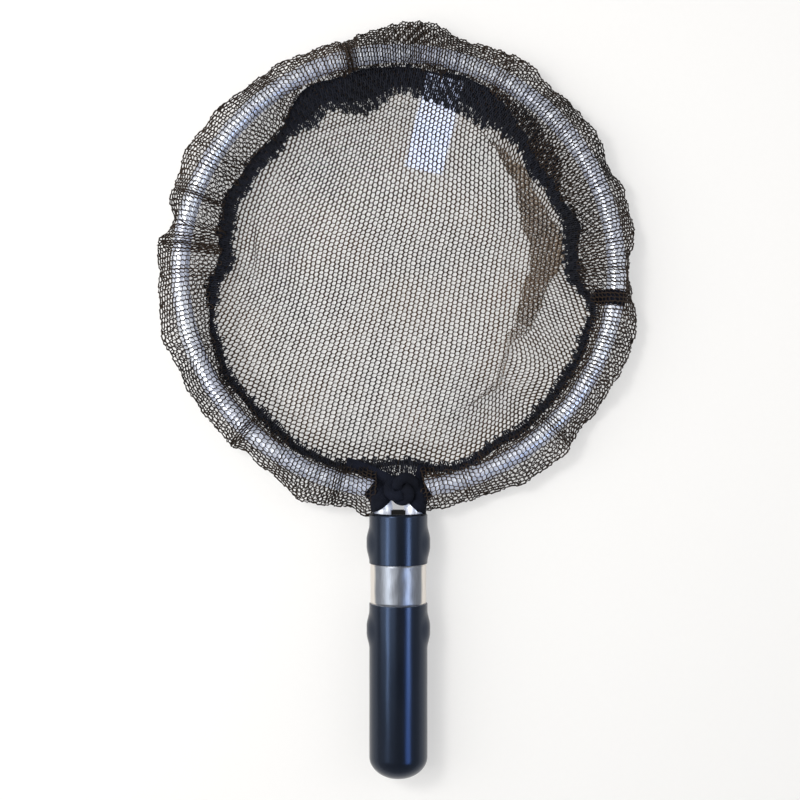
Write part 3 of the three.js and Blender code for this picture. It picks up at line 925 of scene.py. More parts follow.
def strand_faces(cells, corner_of, uses, rim_number, top, normals, half):
    """Faces of the strands: walls, flats between two cells, the rim and the joints of three strands."""
    count = len(cells)
    own = np.arange(count * 6).reshape(-1, 6)
    start, stop = own.reshape(-1), np.roll(own, -1, 1).reshape(-1)
    start_corner, stop_corner = corner_of[start], corner_of[stop]
    walls = np.stack([start, stop, stop + half, start + half], 1)
    key = np.minimum(start_corner, stop_corner) * len(uses) + np.maximum(start_corner, stop_corner)
    order = np.argsort(key, kind="stable")
    same = key[order][1:] == key[order][:-1]
    a, b = order[:-1][same], order[1:][same]
    strands = np.stack([stop[b], start[b], stop[a], start[a]], 1)
    paired = np.zeros(len(key), bool)
    paired[a] = paired[b] = True
    lone = np.flatnonzero(~paired)
    rim_start = count * 6 + rim_number[start_corner[lone]]
    rim_stop = count * 6 + rim_number[stop_corner[lone]]
    rims = np.stack([rim_start, rim_stop, stop[lone], start[lone]], 1)
    outer = np.stack([rim_stop, rim_start, rim_start + half, rim_stop + half], 1)
    by_corner = np.argsort(corner_of, kind="stable")
    first = np.searchsorted(corner_of[by_corner], np.arange(len(uses)))
    three = np.flatnonzero(uses == 3)
    joints = np.stack([by_corner[first[three] + i] for i in range(3)], 1)
    two = np.flatnonzero(uses == 2)
    ends = np.stack([by_corner[first[two]], by_corner[first[two] + 1], count * 6 + rim_number[two]], 1)
    joints = np.concatenate([joints, ends])
    facing = normals[np.concatenate([three, two])]
    side = np.cross(top[joints[:, 1]] - top[joints[:, 0]], top[joints[:, 2]] - top[joints[:, 0]])
    wrong = (side * facing).sum(1) < 0
    joints[wrong] = joints[wrong][:, [0, 2, 1]]
    flat_quads = np.concatenate([strands, rims])
    quads = np.concatenate([walls, outer, flat_quads, flat_quads[:, ::-1] + half])
    triangles = np.concatenate([joints, joints[:, ::-1] + half])
    return quads.tolist() + triangles.tolist()


# The label's place under the bag: its angle round the hoop in degrees, and millimetres
LABEL_ANGLE = 76.5
LABEL_WIDTH = 21
LABEL_TIP = 59.7
LABEL_LENGTH = 52


def label_place(x, y):
    """Distances along and across the label, from the hoop's centre."""
    turn = math.radians(LABEL_ANGLE)
    return x * math.cos(turn) + y * math.sin(turn), -x * math.sin(turn) + y * math.cos(turn)


def over_label(x, y):
    """1 over the label, 0 away from it."""
    margin, slope = 1.5 * MM, 5 * MM
    along, across = label_place(x, y)
    beside = smooth((np.abs(across) - LABEL_WIDTH / 2 * MM - margin) / slope)
    before = smooth((LABEL_TIP * MM - margin - along) / slope)
    return (1 - beside) * (1 - before)


def neck_patch(turn):
    """How far net reaches past the seam at the neck, to the knot."""
    return 9.5 * MM * turn_hump(turn, 270.5, 7)


# Spare net between the bag's middle and the seam: (angle in degrees, width in degrees, millimetres)
SPARE_HUMPS = ((14, 30, 7), (110, 26, 9), (172, 22, 6), (308, 24, 9))
# Depth of the fold at the bag's right, given in the same way
FOLD_HUMPS = ((-46, 11, 5), (-18, 15, 10), (12, 20, 20), (40, 12, 7))


def spare_net(turn):
    """How much more net than needed lies between the bag's middle and the seam, apart from the fold."""
    return (1 + humps(turn, SPARE_HUMPS)) * MM


def signed_degrees(turn):
    """Degrees either way from the hoop's right."""
    return (np.degrees(turn) + 180) % 360 - 180


def fold_line(turn):
    """Distance from the hoop's centre to the edge that shows of the flat fold at the bag's right."""
    middle = 75
    degrees = signed_degrees(turn)
    above = 16 * smooth((degrees - 22) / 40)
    below = 9 * smooth((-30 - degrees) / 35) - 6 * turn_hump(turn, -18, 22)
    uneven = waves(turn, (13, 0, 0.8), (29, 1, 0.6))
    return (middle + above + below + uneven) * MM


def fold_depth(net, turn):
    """How deep the bag's fold is. It ends short of the tape."""
    short = 1.5 * MM
    room = seam_radius(net, turn) - tape_width(turn) - short - fold_line(turn)
    return np.clip(humps(turn, FOLD_HUMPS) * MM, 0, np.maximum(room, 0))


BAG_CALM = 56 * MM  # from the bag's middle to where its spare net begins
BAG_SLOPE = 17 * MM  # width of the slope up to the seam
LOOSE_START = 60 * MM  # from the bag's middle to where its net gets loose
LOOSE_RUN = 40 * MM  # from there to where it is as loose as it gets
PUCKER_HEIGHT = 0.6 * MM  # of the loose net's puckers, which run outward
RIDGE_HEIGHT = 0.8 * MM  # of its ridges, which run round the bag
RIDGE_LENGTH = 1.05 * MM  # how far outward the ridges' wave turns by one radian
RIDGE_PLENTY = 14 * MM  # spare net that gives ridges of their full height
FOLD_BEND = 1.5 * MM  # length of net in each of the fold's turns
FOLD_CLIMB = 12 * MM  # width of the slope up on to the fold
FOLD_LAYER = 0.95 * MM  # from one layer of the fold to the next
FOLD_LEAST = 3 * MM  # depth from which the fold lies in full layers
# The small crease at the bag's left: its angle, its distance from the hoop's centre and half its length
CREASE_TURN = math.radians(171)
CREASE_DISTANCE = 85 * MM
CREASE_REACH = 14 * MM
CREASE_PULL = 1.1 * MM  # how far net is drawn into the crease from each side
CREASE_CORE = 1.4 * MM  # half the width that is drawn in
CREASE_HEIGHT = 1.6 * MM
CREASE_WIDTH = 2.4 * MM
CREASE_X = CREASE_DISTANCE * math.cos(CREASE_TURN)
CREASE_Y = CREASE_DISTANCE * math.sin(CREASE_TURN)


def bag_height(net, reach, turn):
    """Height of the bag's net: on the table and over the label, loose further out, then up to the seam."""
    over_table = label_lift = 0.45 * MM
    over = over_label(reach * np.cos(turn), reach * np.sin(turn))
    floor = over_table + net.strand_height / 2 + label_lift * over
    climb = smooth((reach - seam_radius(net, turn) + BAG_SLOPE) / BAG_SLOPE)
    crowded = smooth((reach - LOOSE_START) / LOOSE_RUN)
    puckers = 0.5 + 0.5 * np.sin(24 * turn + 2.2 * np.sin(3 * turn) + 40 * reach)
    ridges = 0.5 + 0.5 * np.sin(reach / RIDGE_LENGTH + 2.5 * np.sin(5 * turn))
    plenty = np.clip(spare_net(turn) / RIDGE_PLENTY, 0, 1)
    loose = crowded * (1 - climb) * (PUCKER_HEIGHT * puckers + RIDGE_HEIGHT * ridges * plenty)
    return floor + loose + (seam_level(net, turn) - floor) * climb


def folded(net, spread, turn):
    """Lays net that is spread along a radius into the fold, tucked under. Gives its reach and its lift."""
    depth = fold_depth(net, turn)
    inner = fold_line(turn)
    outer = inner + depth
    back = np.where(spread < outer + depth, 2 * outer - spread, spread - 2 * depth)
    reach = np.where(spread < outer, spread, back)
    layers = smooth((spread - outer) / FOLD_BEND + 0.5) + smooth((spread - outer - depth) / FOLD_BEND + 0.5)
    climbs = smooth((spread - inner) / FOLD_CLIMB + 1)
    return reach, FOLD_LAYER * (2 * climbs - layers) * smooth(depth / FOLD_LEAST)


def tucked_under(net, flat):
    """How far the bag's net is tucked under the fold, and the share of width that its strands keep."""
    turn, spread = bag_spread(net, flat)
    depth = fold_depth(net, turn)
    past = spread - fold_line(turn) - depth
    fade, fade_lead = 3 * MM, 0.67
    most_thinned = 0.88
    under = 1 - smooth((past - 2 * depth) / fade + fade_lead)
    tucked = smooth(past / FOLD_BEND + 0.5) * under * smooth(depth / FOLD_LEAST)
    near_end = 1 - smooth((signed_degrees(turn) + 48) / 50)
    return tucked, 1 - tucked * most_thinned * near_end


def pulled(flat):
    """The near half of the bag is pulled wider, and the far end longer and narrower."""
    wider, narrower, longer = 0.12, 0.13, 0.11
    near_run = 70 * MM
    far_start, far_run = 15 * MM, 60 * MM
    x, y = flat[..., 0], flat[..., 1]
    near = smooth(-y / near_run)
    far = smooth((y - far_start) / far_run)
    return x * (1 + wider * near - narrower * far), y * (1 + longer * far)


def bag_spread(net, flat):
    """Angle round the hoop of flat net in the bag, and its distance from the middle before it is folded."""
    x, y = pulled(flat)
    x = x - CREASE_PULL * np.tanh((x - CREASE_X) / CREASE_CORE) * hump(y, CREASE_Y, CREASE_REACH)
    reach, turn = np.hypot(x, y), np.arctan2(y, x)
    run = seam_radius(net, turn) + 2 * fold_depth(net, turn) - BAG_CALM
    squeeze = run / (run + spare_net(turn))
    return turn, np.where(reach < BAG_CALM, reach, BAG_CALM + (reach - BAG_CALM) * squeeze)


def bag_place(net):
    """Places flat net in the bag."""

    def place(flat):
        turn, spread = bag_spread(net, flat)
        reach, lift = folded(net, spread, turn)
        x, y = reach * np.cos(turn), reach * np.sin(turn)
        ridge = CREASE_HEIGHT * hump(x, CREASE_X, CREASE_WIDTH) * hump(y, CREASE_Y, CREASE_REACH)
        return np.stack([x, y, bag_height(net, reach, turn) + ridge + lift], -1)

    return place


class HANDNET_OT_bag(bpy.types.Operator):
    """Knitted bag, laid on the table and gathered up to the seam"""

    bl_idname = "handnet.bag"
    bl_label = "Net bag"

    def execute(self, context):
        net = context.scene.hand_net_net
        margin = 2 * MM

        def inside(x, y):
            x, y = pulled(np.stack([x, y], -1))
            turn = np.arctan2(y, x)
            needed = seam_radius(net, turn) + 2 * fold_depth(net, turn) + spare_net(turn)
            return np.hypot(x, y) < needed - margin + neck_patch(turn)

        wide = 170 * MM
        cut = flat_cells(net, (-wide, -wide), (wide, wide), inside)
        # How far each point is tucked under the fold thins its strands and paints its yarn paler, as painted
        # bounce light
        tucked, thinned = tucked_under(net, cut[1])
        strand = (net.strand_width * thinned, net.strand_height)
        nodes = ["bag_side", "bag_floor"]
        place = bag_place(net)
        net_piece("bag_net", net, cut, place, net.seed, strand, "faded_net", nodes, tucked)
        return {"FINISHED"}


CASING_END = 12.2 * MM  # from the handle's axis to each end of the casing at the neck
CASING_STRETCH = 1.08  # length of the net across the tube, for each length of it as it lies flat
CASING_PLEAT = 9 * MM  # flat length of net in one pleat
CASING_CLEAR = 0.9 * MM  # least distance from the tube to the casing
CASING_OVER = 0.75 * MM  # from the tube's top to the upper layer where it has no fold
CASING_UNDER = 1.3 * MM  # from the tube's underside to the lower layer
CASING_SPLIT = 0.35 * MM  # how far each layer is moved away from the other
CASING_LOWEST = 0.6 * MM  # least height of the casing over the table
UPPER_BOW, LOWER_BOW = 1.55, 1.2  # how late each layer bends away from the tube
LOWER_SAG = 1.2 * MM  # of the lower layer, halfway from the seam to the outer edge
OVER_SEAM = 2.7 * MM  # from the seam to the upper layer
FOLD_HEIGHT = 1.3 * MM  # of the casing's bunched folds over the tube
NECK_HEIGHT = 1.5 * MM  # of the bunch of net at the neck
FLUTTER = 0.5 * MM  # of the casing's edges
# Where the casing is more or less crowded: (angle in degrees, width in degrees, share of net more)
CROWDED = ((18, 42, 0.3), (88, 30, 0.4), (88, 14, 0.4), (226, 14, -0.2), (249, 7, 0.25))
SMALL_GATHERS = 24  # how many small gathers are added at random
# The least and the most of such a gather: its share of net more, and its angle and width in degrees
SMALL_SPANS = ((0.05, 0.3), (0, 360), (0.8, 2.2))


def casing_gather(net, tube):
    """Angles round the hoop, the flat net's length from the casing's start to each, and how crowded it is."""
    chance = np.random.default_rng(net.seed + 1)
    neck = math.asin(CASING_END / tube.hoop_radius)
    turns = np.linspace(-math.pi / 2 + neck, 1.5 * math.pi - neck, 4000)
    crowding = 1 + humps(turns, CROWDED + FOLDS)
    for _ in range(SMALL_GATHERS):
        amount, degrees, width = (chance.uniform(*span) for span in SMALL_SPANS)
        crowding += amount * turn_hump(turns, degrees, width)
    step = (turns[1] - turns[0]) * tube.hoop_radius
    lengths = np.concatenate([[0], np.cumsum((crowding[1:] + crowding[:-1]) / 2 * step)])
    return turns, lengths, crowding


def clear_of_ends(along, full):
    """Whether flat net lies clear of both ends of a cut."""
    margin = 1.2 * MM
    return (along > margin) & (along < full - margin)


def pleats(flat, crowd, pleat):
    """How far crowded net stands up in pleats, so that its length is taken up."""
    least_crowded = 0.02
    depth = pleat / crowd / math.pi * np.sqrt(np.maximum(crowd - 1, least_crowded))
    wander = 1.3 * np.sin(flat[:, 1] / (9 * MM) + flat[:, 0] / (23 * MM))
    return depth * (1 + np.sin(flat[:, 0] / pleat * TAU + wander))


def casing_section(net, tube, turn, share, upper):
    """Reach and height of a casing layer, at a share of the way from the seam to the outer edge."""
    inner, outer = seam_radius(net, turn), outer_radius(net, turn)
    reach = inner + (outer - inner) * share
    beside = reach - tube.hoop_radius
    beyond_seam = 0.5 * MM
    span = np.where(beside < 0, tube.hoop_radius - inner + beyond_seam, outer - tube.hoop_radius)
    off = np.clip(np.abs(beside) / span, 0, 1)
    seam_end = seam_level(net, turn) + (OVER_SEAM if upper else 0)
    end = np.where(beside < 0, seam_end, outer_level(turn))
    flutter = FLUTTER * np.sin(44 * turn + 3 * np.sin(5 * turn)) * off
    near_tube = (tube.tube_radius + CASING_CLEAR) ** 2 - beside**2
    clear = np.sqrt(np.maximum(near_tube, 0))
    if upper:
        peak = HOOP_LEVEL + tube.tube_radius + CASING_OVER + FOLD_HEIGHT * folds_at(turn)
        peak = peak + NECK_HEIGHT * turn_hump(turn, 270, 8)
        height = peak - (peak - end) * off**UPPER_BOW + flutter
        height = np.where(near_tube > 0, np.maximum(height, HOOP_LEVEL + clear), height)
        return reach, height + CASING_SPLIT
    trough = HOOP_LEVEL - tube.tube_radius - CASING_UNDER
    sag = LOWER_SAG * np.sin(math.pi * share)
    height = trough - (trough - end) * off**LOWER_BOW + flutter - CASING_SPLIT - sag
    return reach, np.where(near_tube > 0, np.minimum(height, HOOP_LEVEL - clear), height)


def casing_marks(net, tube, turn, upper):
    """Distances along a casing layer's curve, from its outer edge in to the seam in even shares."""
    share = np.linspace(1, 0, 25)
    reach, height = casing_section(net, tube, turn[:, None], share[None], upper)
    marks = np.cumsum(np.hypot(np.diff(reach, axis=1), np.diff(height, axis=1)), 1)
    return np.concatenate([np.zeros((len(turn), 1)), marks], 1)


def share_at(marks, distance):
    """Share of the way from the seam to the outer edge, at a distance from that edge along the curve."""
    row = np.arange(len(marks))
    steps = marks.shape[1] - 1
    step = np.clip((marks <= distance[:, None]).sum(1) - 1, 0, steps - 1)
    before, after = marks[row, step], marks[row, step + 1]
    return 1 - (step + np.clip((distance - before) / (after - before), 0, 1)) / steps


def casing_place(net, tube, gather, upper):
    """Places flat net, with its length along the hoop and its width from the outer edge in."""
    turns, lengths, crowding = gather
    tuck = 0.8 * MM

    def place(flat):
        turn = np.interp(flat[:, 0], lengths, turns)
        distance = flat[:, 1] * CASING_STRETCH
        marks = casing_marks(net, tube, turn, upper)
        reach, height = casing_section(net, tube, turn, share_at(marks, distance), upper)
        rise = pleats(flat, np.interp(flat[:, 0], lengths, crowding), CASING_PLEAT)
        if upper:
            over_tape = np.maximum(distance - marks[:, -1], 0)
            curl = np.clip(-distance / tuck, 0, math.pi)
            reach = reach - over_tape + tuck * np.sin(curl)
            height = height + rise - tuck * (1 - np.cos(curl)) - 0.5 * over_tape
        else:
            height = height - rise
        return polar(reach, turn, np.maximum(height, CASING_LOWEST))

    return place


class HANDNET_OT_casing(bpy.types.Operator):
    """Two layers of knitted net gathered on the hoop, from the seam to the ruffled outer edge"""

    bl_idname = "handnet.casing"
    bl_label = "Net casing"

    def execute(self, context):
        net = context.scene.hand_net_net
        tube = context.scene.hand_net_tube
        gather = casing_gather(net, tube)
        turns, lengths, _ = gather
        full = float(lengths[-1])
        widest = 50 * MM
        margin = 0.8 * MM
        strand = (net.casing_strand, net.casing_height)
        # Each layer's name, whether it is the upper one and the lean of its cells,
        # then how much flat net is tucked under the outer edge and how much lies over the tape
        layers = (
            ("casing_net_upper", True, 0.3, 2.5 * MM, 2.0 * MM),
            ("casing_net_lower", False, 0.9, 0, 0),
        )
        for name, upper, lean, under, over in layers:

            def inside(x, y):
                marks = casing_marks(net, tube, np.interp(x, lengths, turns), upper)
                width = marks[:, -1] / CASING_STRETCH
                return clear_of_ends(x, full) & (y > margin - under) & (y < width + over - margin)

            cut = flat_cells(net, (0, -under), (full, widest), inside, lean)
            place = casing_place(net, tube, gather, upper)
            seed = net.seed + 2 + upper
            net_piece(name, net, cut, place, seed, strand, "black_net", ["net_casing"])
        return {"FINISHED"}


# Tapes and label

# A tape's section: (which side, inset from that side and rise, both in halves of its thickness)
TAPE_OUTLINE = (
    (-1, 0, 0),
    (-1, 0.35, 0.8),
    (0, 0, 1),
    (1, -0.35, 0.8),
    (1, 0, 0),
    (1, -0.35, -0.8),
    (0, 0, -1),
    (-1, 0.35, -0.8),
)


def ribbon_rings(centre, across, normal, width, thickness):
    """Rings of a flat tape with soft edges. centre, across and normal have one row for each ring."""
    half = np.broadcast_to(np.asarray(width) / 2, len(centre))[:, None]
    soft = thickness / 2
    lines = []
    for side, inset, rise in TAPE_OUTLINE:
        lines.append(centre + across * (side * half + inset * soft) + normal * rise * soft)
    return np.stack(lines, 1)


def seam_strip(net, turn, width, lift):
    """Middle line of a strip along the seam, the way across it, its upward side and its width."""
    inset = 0.3 * MM
    outer = seam_radius(net, turn) - inset
    ends = (outer - width, outer)
    start, stop = (polar(reach, turn, bag_height(net, reach, turn) + lift) for reach in ends)
    across = unit(stop - start)
    tangent = polar(np.ones_like(turn), turn + math.pi / 2, np.zeros_like(turn))
    return (start + stop) / 2, across, unit(np.cross(across, tangent)), np.linalg.norm(stop - start, axis=1)


GATHER_CROWDING = 2.1  # flat length of the net gathered on the seam, for each length of seam
GATHER_PLEAT = 4.5 * MM  # flat length of that net in one pleat
TAPE_THICKNESS = 0.9 * MM


def jagged_edge(along):
    """How far the gathered net's inner edge is from straight."""
    return (0.9 * np.sin(along / (2.3 * MM)) + 0.7 * np.sin(along / (0.97 * MM) + 1)) * MM


def past_seam(net, tube, turn):
    """How far the gathered net reaches out past the seam.

    At the right of the far side it is bunched most of the way out to the tube.
    """
    to_tube = tube.hoop_radius - tube.tube_radius - seam_radius(net, turn)
    bunched = 0.9 * between(turn, 36, 10, 62, 8) * np.minimum(to_tube, 10 * MM)
    return (0.6 + 1.6 * turn_hump(turn, 75, 7)) * MM + neck_patch(turn) + bunched


class HANDNET_OT_seam_tape(bpy.types.Operator):
    """Binding tape under the seam, and the crowded net that is gathered over it"""

    bl_idname = "handnet.seam_tape"
    bl_label = "Seam tape and gathers"

    def execute(self, context):
        net = context.scene.hand_net_net
        tube = context.scene.hand_net_tube
        turn = full_turn(720)
        gathered = tape_width(turn)
        # Where much net is gathered, the tape under it is narrower
        bound = np.minimum(gathered, 2.0 * MM + 0.6 * gathered)
        under_net, over_tape = -1.45 * MM, 1.3 * MM
        rings = ribbon_rings(*seam_strip(net, turn, bound, under_net), TAPE_THICKNESS)
        solid_piece("seam_tape_ring", rings, finish("binding_tape"), nodes=["seam_tape"], slot="tape")

        full = TAU * net.seam_reach * GATHER_CROWDING
        widest = 15 * MM
        past_tape = 1.3 * MM

        def round_seam(along):
            return along / full * TAU - math.pi / 2

        def inside(x, y):
            turn = round_seam(x)
            half = tape_width(turn) / 2
            inner, outer = jagged_edge(x) - half - past_tape, half + past_seam(net, tube, turn)
            return clear_of_ends(x, full) & (y > inner) & (y < outer)

        def place(flat):
            turn = round_seam(flat[:, 0])
            middle, side, up, _ = seam_strip(net, turn, tape_width(turn), over_tape)
            rise = pleats(flat, np.full(len(flat), GATHER_CROWDING), GATHER_PLEAT)
            return middle + side * flat[:, 1:] + up * rise[:, None]

        cut = flat_cells(net, (0, -widest), (full, widest), inside, turn=0.5)
        strand = (net.seam_strand, net.seam_height)
        seed = net.seed + 5
        net_piece("seam_gathers", net, cut, place, seed, strand, "tape_dark_net", ["seam_tape"])
        return {"FINISHED"}


def smooth_line(points, count):
    """An even line through given points in millimetres, with its corners rounded off."""
    points = np.asarray(points, float) * MM
    marks = line_marks(points)
    even = np.linspace(0, marks[-1], count)
    line = np.stack([np.interp(even, marks, points[:, i]) for i in range(3)], 1)
    for _ in range(count // 2):
        line[1:-1] = (line[:-2] + 2 * line[1:-1] + line[2:]) / 4
    return line


def lying_ribbon(line, width, thickness, closed=False):
    """Rings of a tape that lies as flat as its line allows."""
    ahead = np.roll(line, -1, 0) - np.roll(line, 1, 0) if closed else np.gradient(line, axis=0)
    tangent = unit(ahead)
    upward = unit(np.cross(np.cross(tangent, UP), tangent))
    return ribbon_rings(line, np.cross(tangent, upward), upward, width, thickness)


def wound_tape(tube, side):
    """Rings of a tape wound down a neck bend, lower on its outer side."""
    path = bend_points(tube, side, count=200)
    down_leg = [[0, -6 * MM]]
    path = np.concatenate([path, path[-1:] + down_leg])
    marks = line_marks(path)

    def on_path(spots):
        level = [np.interp(spots, marks, path[:, i]) for i in range(2)]
        return np.stack([*level, np.full(len(spots), HOOP_LEVEL)], 1)

    rounds, first_turn = 3.6, 0.6
    start, run, lean = 5 * MM, 8.8 * MM, 3 * MM
    first_gap, round_gap = 0.45 * MM, 0.5 * MM
    width, thickness = 6.4 * MM, 0.42 * MM
    share = np.linspace(0, 1, 170)
    winding = share * rounds * TAU + first_turn
    spots = start + share * run - lean * side * np.cos(winding) * share
    tangent = unit(on_path(spots + MM) - on_path(spots - MM))
    normal = np.cross(tangent, UP) * np.cos(winding)[:, None] + UP * np.sin(winding)[:, None]
    radius = tube.tube_radius + first_gap + round_gap * share * rounds
    return ribbon_rings(on_path(spots) + normal * radius[:, None], tangent, normal, width, thickness)


# Ends of the seam tape, from the seam to the neck, and their widths, in millimetres
LEFT_TAIL = ((-29, -106, 10.5), (-19, -109, 12.5), (-8, -114, 17.5), (0, -118, 20.5))
RIGHT_TAIL = ((13.5, -107, 10.5), (12, -112, 16), (11, -117.5, 23), (10.4, -124, 23.6), (12.5, -131.5, 20))
TAIL_WIDTHS = {LEFT_TAIL: 7.5, RIGHT_TAIL: 5.2}
# The visual knot's place from the middle of the knot in the frame
KNOT_SHIFT = np.array([1.6, -4.4, 7.0]) * MM
KNOT_SCALE = np.array([2.3, 2.2, 1.5]) * MM
KNOT_START = 0.8  # angle at which the knot's line begins
KNOT_UNEVEN = 0.14  # how much one of the knot's rounds is drawn tighter than the other
KNOT_WIDTH, KNOT_THICKNESS = 5.8 * MM, 2.4 * MM  # of its tape


def knot_line():
    """Two rounds of tape that cross three times, one drawn tighter than the other."""
    low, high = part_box("neck_knot")
    t = full_turn(160)
    reach = (2 + np.cos(3 * t)) * (1 + KNOT_UNEVEN * np.sin(t + 2))
    line = polar(reach, 2 * t + KNOT_START, np.sin(3 * t))
    return line * KNOT_SCALE + (np.array(low) + np.array(high)) / 2 + KNOT_SHIFT


def loop_rings(net, tube):
    """Rings of the tape loop at the right, from the seam round the hoop's tube and back."""
    turn = math.radians(-7)
    width, thickness = 8 * MM, 0.7 * MM
    first_bend, last_bend = 232, -52
    on_tube = 0.55 * MM
    beyond_seam = 1.0 * MM
    over_seam, under_end, over_end = 0.6 * MM, 0.4 * MM, 0.8 * MM
    out = np.array([math.cos(turn), math.sin(turn), 0])
    along = np.array([-math.sin(turn), math.cos(turn), 0])
    bends = np.radians(np.linspace(first_bend, last_bend, 40))
    ring = np.stack([np.cos(bends), np.sin(bends)], 1) * (tube.tube_radius + on_tube)
    tail = float(seam_radius(net, turn)) - tube.hoop_radius + beyond_seam
    drop = float(seam_level(net, turn)) - HOOP_LEVEL + over_seam
    first = np.linspace((tail, drop - under_end), ring[0], 14, endpoint=False)
    last = np.linspace(ring[-1], (tail, drop + over_end), 15)[1:]
    outline = np.concatenate([first, ring, last])
    centre = out * (tube.hoop_radius + outline[:, :1]) + UP * (HOOP_LEVEL + outline[:, 1:])
    normal = unit(np.cross(unit(np.gradient(centre, axis=0)), along))
    return ribbon_rings(centre, np.broadcast_to(along, centre.shape), normal, width, thickness)


class HANDNET_OT_neck(bpy.types.Operator):
    """Tape wound on the neck bends, the knot between them and the loop round the hoop"""

    bl_idname = "handnet.neck"
    bl_label = "Neck tapes and loop"

    def execute(self, context):
        tube = context.scene.hand_net_tube
        net = context.scene.hand_net_net
        tape = finish("binding_tape")
        for side, name in ((-1, "left"), (1, "right")):
            node = "neck_wrap_" + name
            solid_piece(node + "_wound", wound_tape(tube, side), tape, capped=True, nodes=[node], slot="tape")
        tails = []
        for points, width in TAIL_WIDTHS.items():
            rings = lying_ribbon(smooth_line(points, count=40), width * MM, TAPE_THICKNESS)
            tails.append(loft(rings, capped=True))
        new_piece("seam_tape_tails", *joined(tails), tape, slot="tape")
        rings = lying_ribbon(knot_line(), KNOT_WIDTH, KNOT_THICKNESS, closed=True)
        solid_piece("neck_knot_tied", rings, tape, nodes=["neck_knot"], slot="tape")
        rings = loop_rings(net, tube)
        solid_piece("retaining_loop_tape", rings, tape, capped=True, nodes=["retaining_loop"], slot="tape")
        return {"FINISHED"}


class HANDNET_OT_label(bpy.types.Operator):
    """Plain white label sewn into the seam, lying under the bag"""

    bl_idname = "handnet.label"
    bl_label = "Sewn-in label"

    def execute(self, context):
        net = context.scene.hand_net_net
        turn = math.radians(LABEL_ANGLE)
        thickness = 0.35 * MM
        lowest = 0.4 * MM
        under_net = 0.72 * MM
        along = np.linspace(LABEL_TIP, LABEL_TIP + LABEL_LENGTH, 46)[:, None] * MM
        across = np.linspace(-0.5, 0.5, 24) * LABEL_WIDTH * MM
        x = along * math.cos(turn) - across * math.sin(turn)
        y = along * math.sin(turn) + across * math.cos(turn)
        height = bag_height(net, np.hypot(x, y), np.arctan2(y, x)) - under_net
        grid = np.stack([x, y, np.maximum(height, lowest)], -1)
        half = UP * thickness / 2
        rings = np.concatenate([grid + half, (grid - half)[:, ::-1]], 1)
        where = {"nodes": ["care_label"], "slot": "sewn_label"}
        piece = solid_piece("care_label_sewn", rings, finish("satin_label"), capped=True, **where)
        sharp_above(piece, degrees=50)
        return {"FINISHED"}


# Stage

WHITE = (1.0, 0.985, 0.96)
COOL = (0.9, 0.95, 1.0)
BLUE = (0.3, 0.5, 1.0)
# Lamps: name, place, what it points at, width and length, radiance, tint, and whether it is for gloss only
LAMPS = (
    ("key", (-0.42, 0.15, 0.85), (0, -0.05, 0), (0.2, 0.2), 22, WHITE, False),
    ("left_soft", (-0.6, 0.0, 0.7), (0, 0.0, 0.016), (0.75, 1.1), 2.2, WHITE, False),
    ("right_soft", (0.74, 0.1, 0.53), (0, 0.1, 0.016), (0.6, 0.7), 1.0, WHITE, False),
    ("left_window", (-0.62, -0.255, 0.69), (0, -0.15, 0.016), (0.3, 0.16), 8.5, COOL, True),
    ("right_window", (0.62, -0.255, 0.72), (0, -0.15, 0.016), (0.22, 0.16), 10, COOL, True),
    ("blue_window", (0.57, -0.43, 0.73), (0, -0.23, 0.016), (0.32, 0.28), 5.5, BLUE, True),
)
TABLE_HALF = 4.0  # half the table's width, in metres
TABLE_DROP = 0.2 * MM  # from the net's underside to the table
TABLE_LIFT = 0.4  # share of its own light in the table that is seen
TABLE_GLOW = 1.12  # strength of that light


def area_light(name, place, aim, size, radiance, tint, gloss_only):
    """A flat lamp. One that is for gloss only is seen in shiny things and doesn't light dull ones."""
    lamp = bpy.data.lights.new(name, "AREA")
    lamp.shape = "RECTANGLE"
    lamp.size, lamp.size_y = size
    lamp.energy = radiance * math.pi * size[0] * size[1]
    lamp.color = tint
    holder = bpy.data.objects.new(name, lamp)
    holder.location = place
    holder.rotation_euler = (Vector(aim) - Vector(place)).to_track_quat("-Z", "Y").to_euler()
    holder.visible_diffuse = not gloss_only
    bpy.context.scene.collection.objects.link(holder)


def table_finish(pale):
    """Pale table, lifted a little where camera, gloss or glass sees it, so that it still takes the shadow."""
    material = bpy.data.materials.new("pale_table")
    look = Look(material)
    grain = look.noise(scale=300, detail=2)
    tint = look.clouded(grain, pale, low=0.99, high=1)
    look.surface({"Base Color": tint, "Roughness": 0.7, "Specular IOR Level": 0.2})
    rays = look.add("LightPath").outputs
    seen = rays["Is Camera Ray"]
    for ray in ("Is Glossy Ray", "Is Transmission Ray"):
        seen = look.add("Math", {0: seen, 1: rays[ray]}, operation="MAXIMUM").outputs["Value"]
    share = look.add("Math", {0: seen, 1: TABLE_LIFT}, operation="MULTIPLY").outputs["Value"]
    glow = look.add("Emission", {"Strength": TABLE_GLOW}).outputs["Emission"]
    dull = look.nodes["Principled BSDF"].outputs["BSDF"]
    lifted = look.add("MixShader", {"Fac": share, 1: dull, 2: glow}).outputs["Shader"]
    look.fill(look.nodes["Material Output"], {"Surface": lifted})
    return material


def studio_world():
    """Soft white room, paler near the ground than overhead."""
    world = bpy.data.worlds.new("studio")
    look = Look(world)
    place = look.add("TexCoord").outputs["Generated"]
    upward = look.add("SeparateXYZ", {"Vector": place}).outputs["Z"]
    strength = look.spread(upward, low=0.6, high=0.32)
    look.fill(look.nodes["Background"], {"Strength": strength, "Color": (1.0, 1.0, 1.0, 1)})
    return world


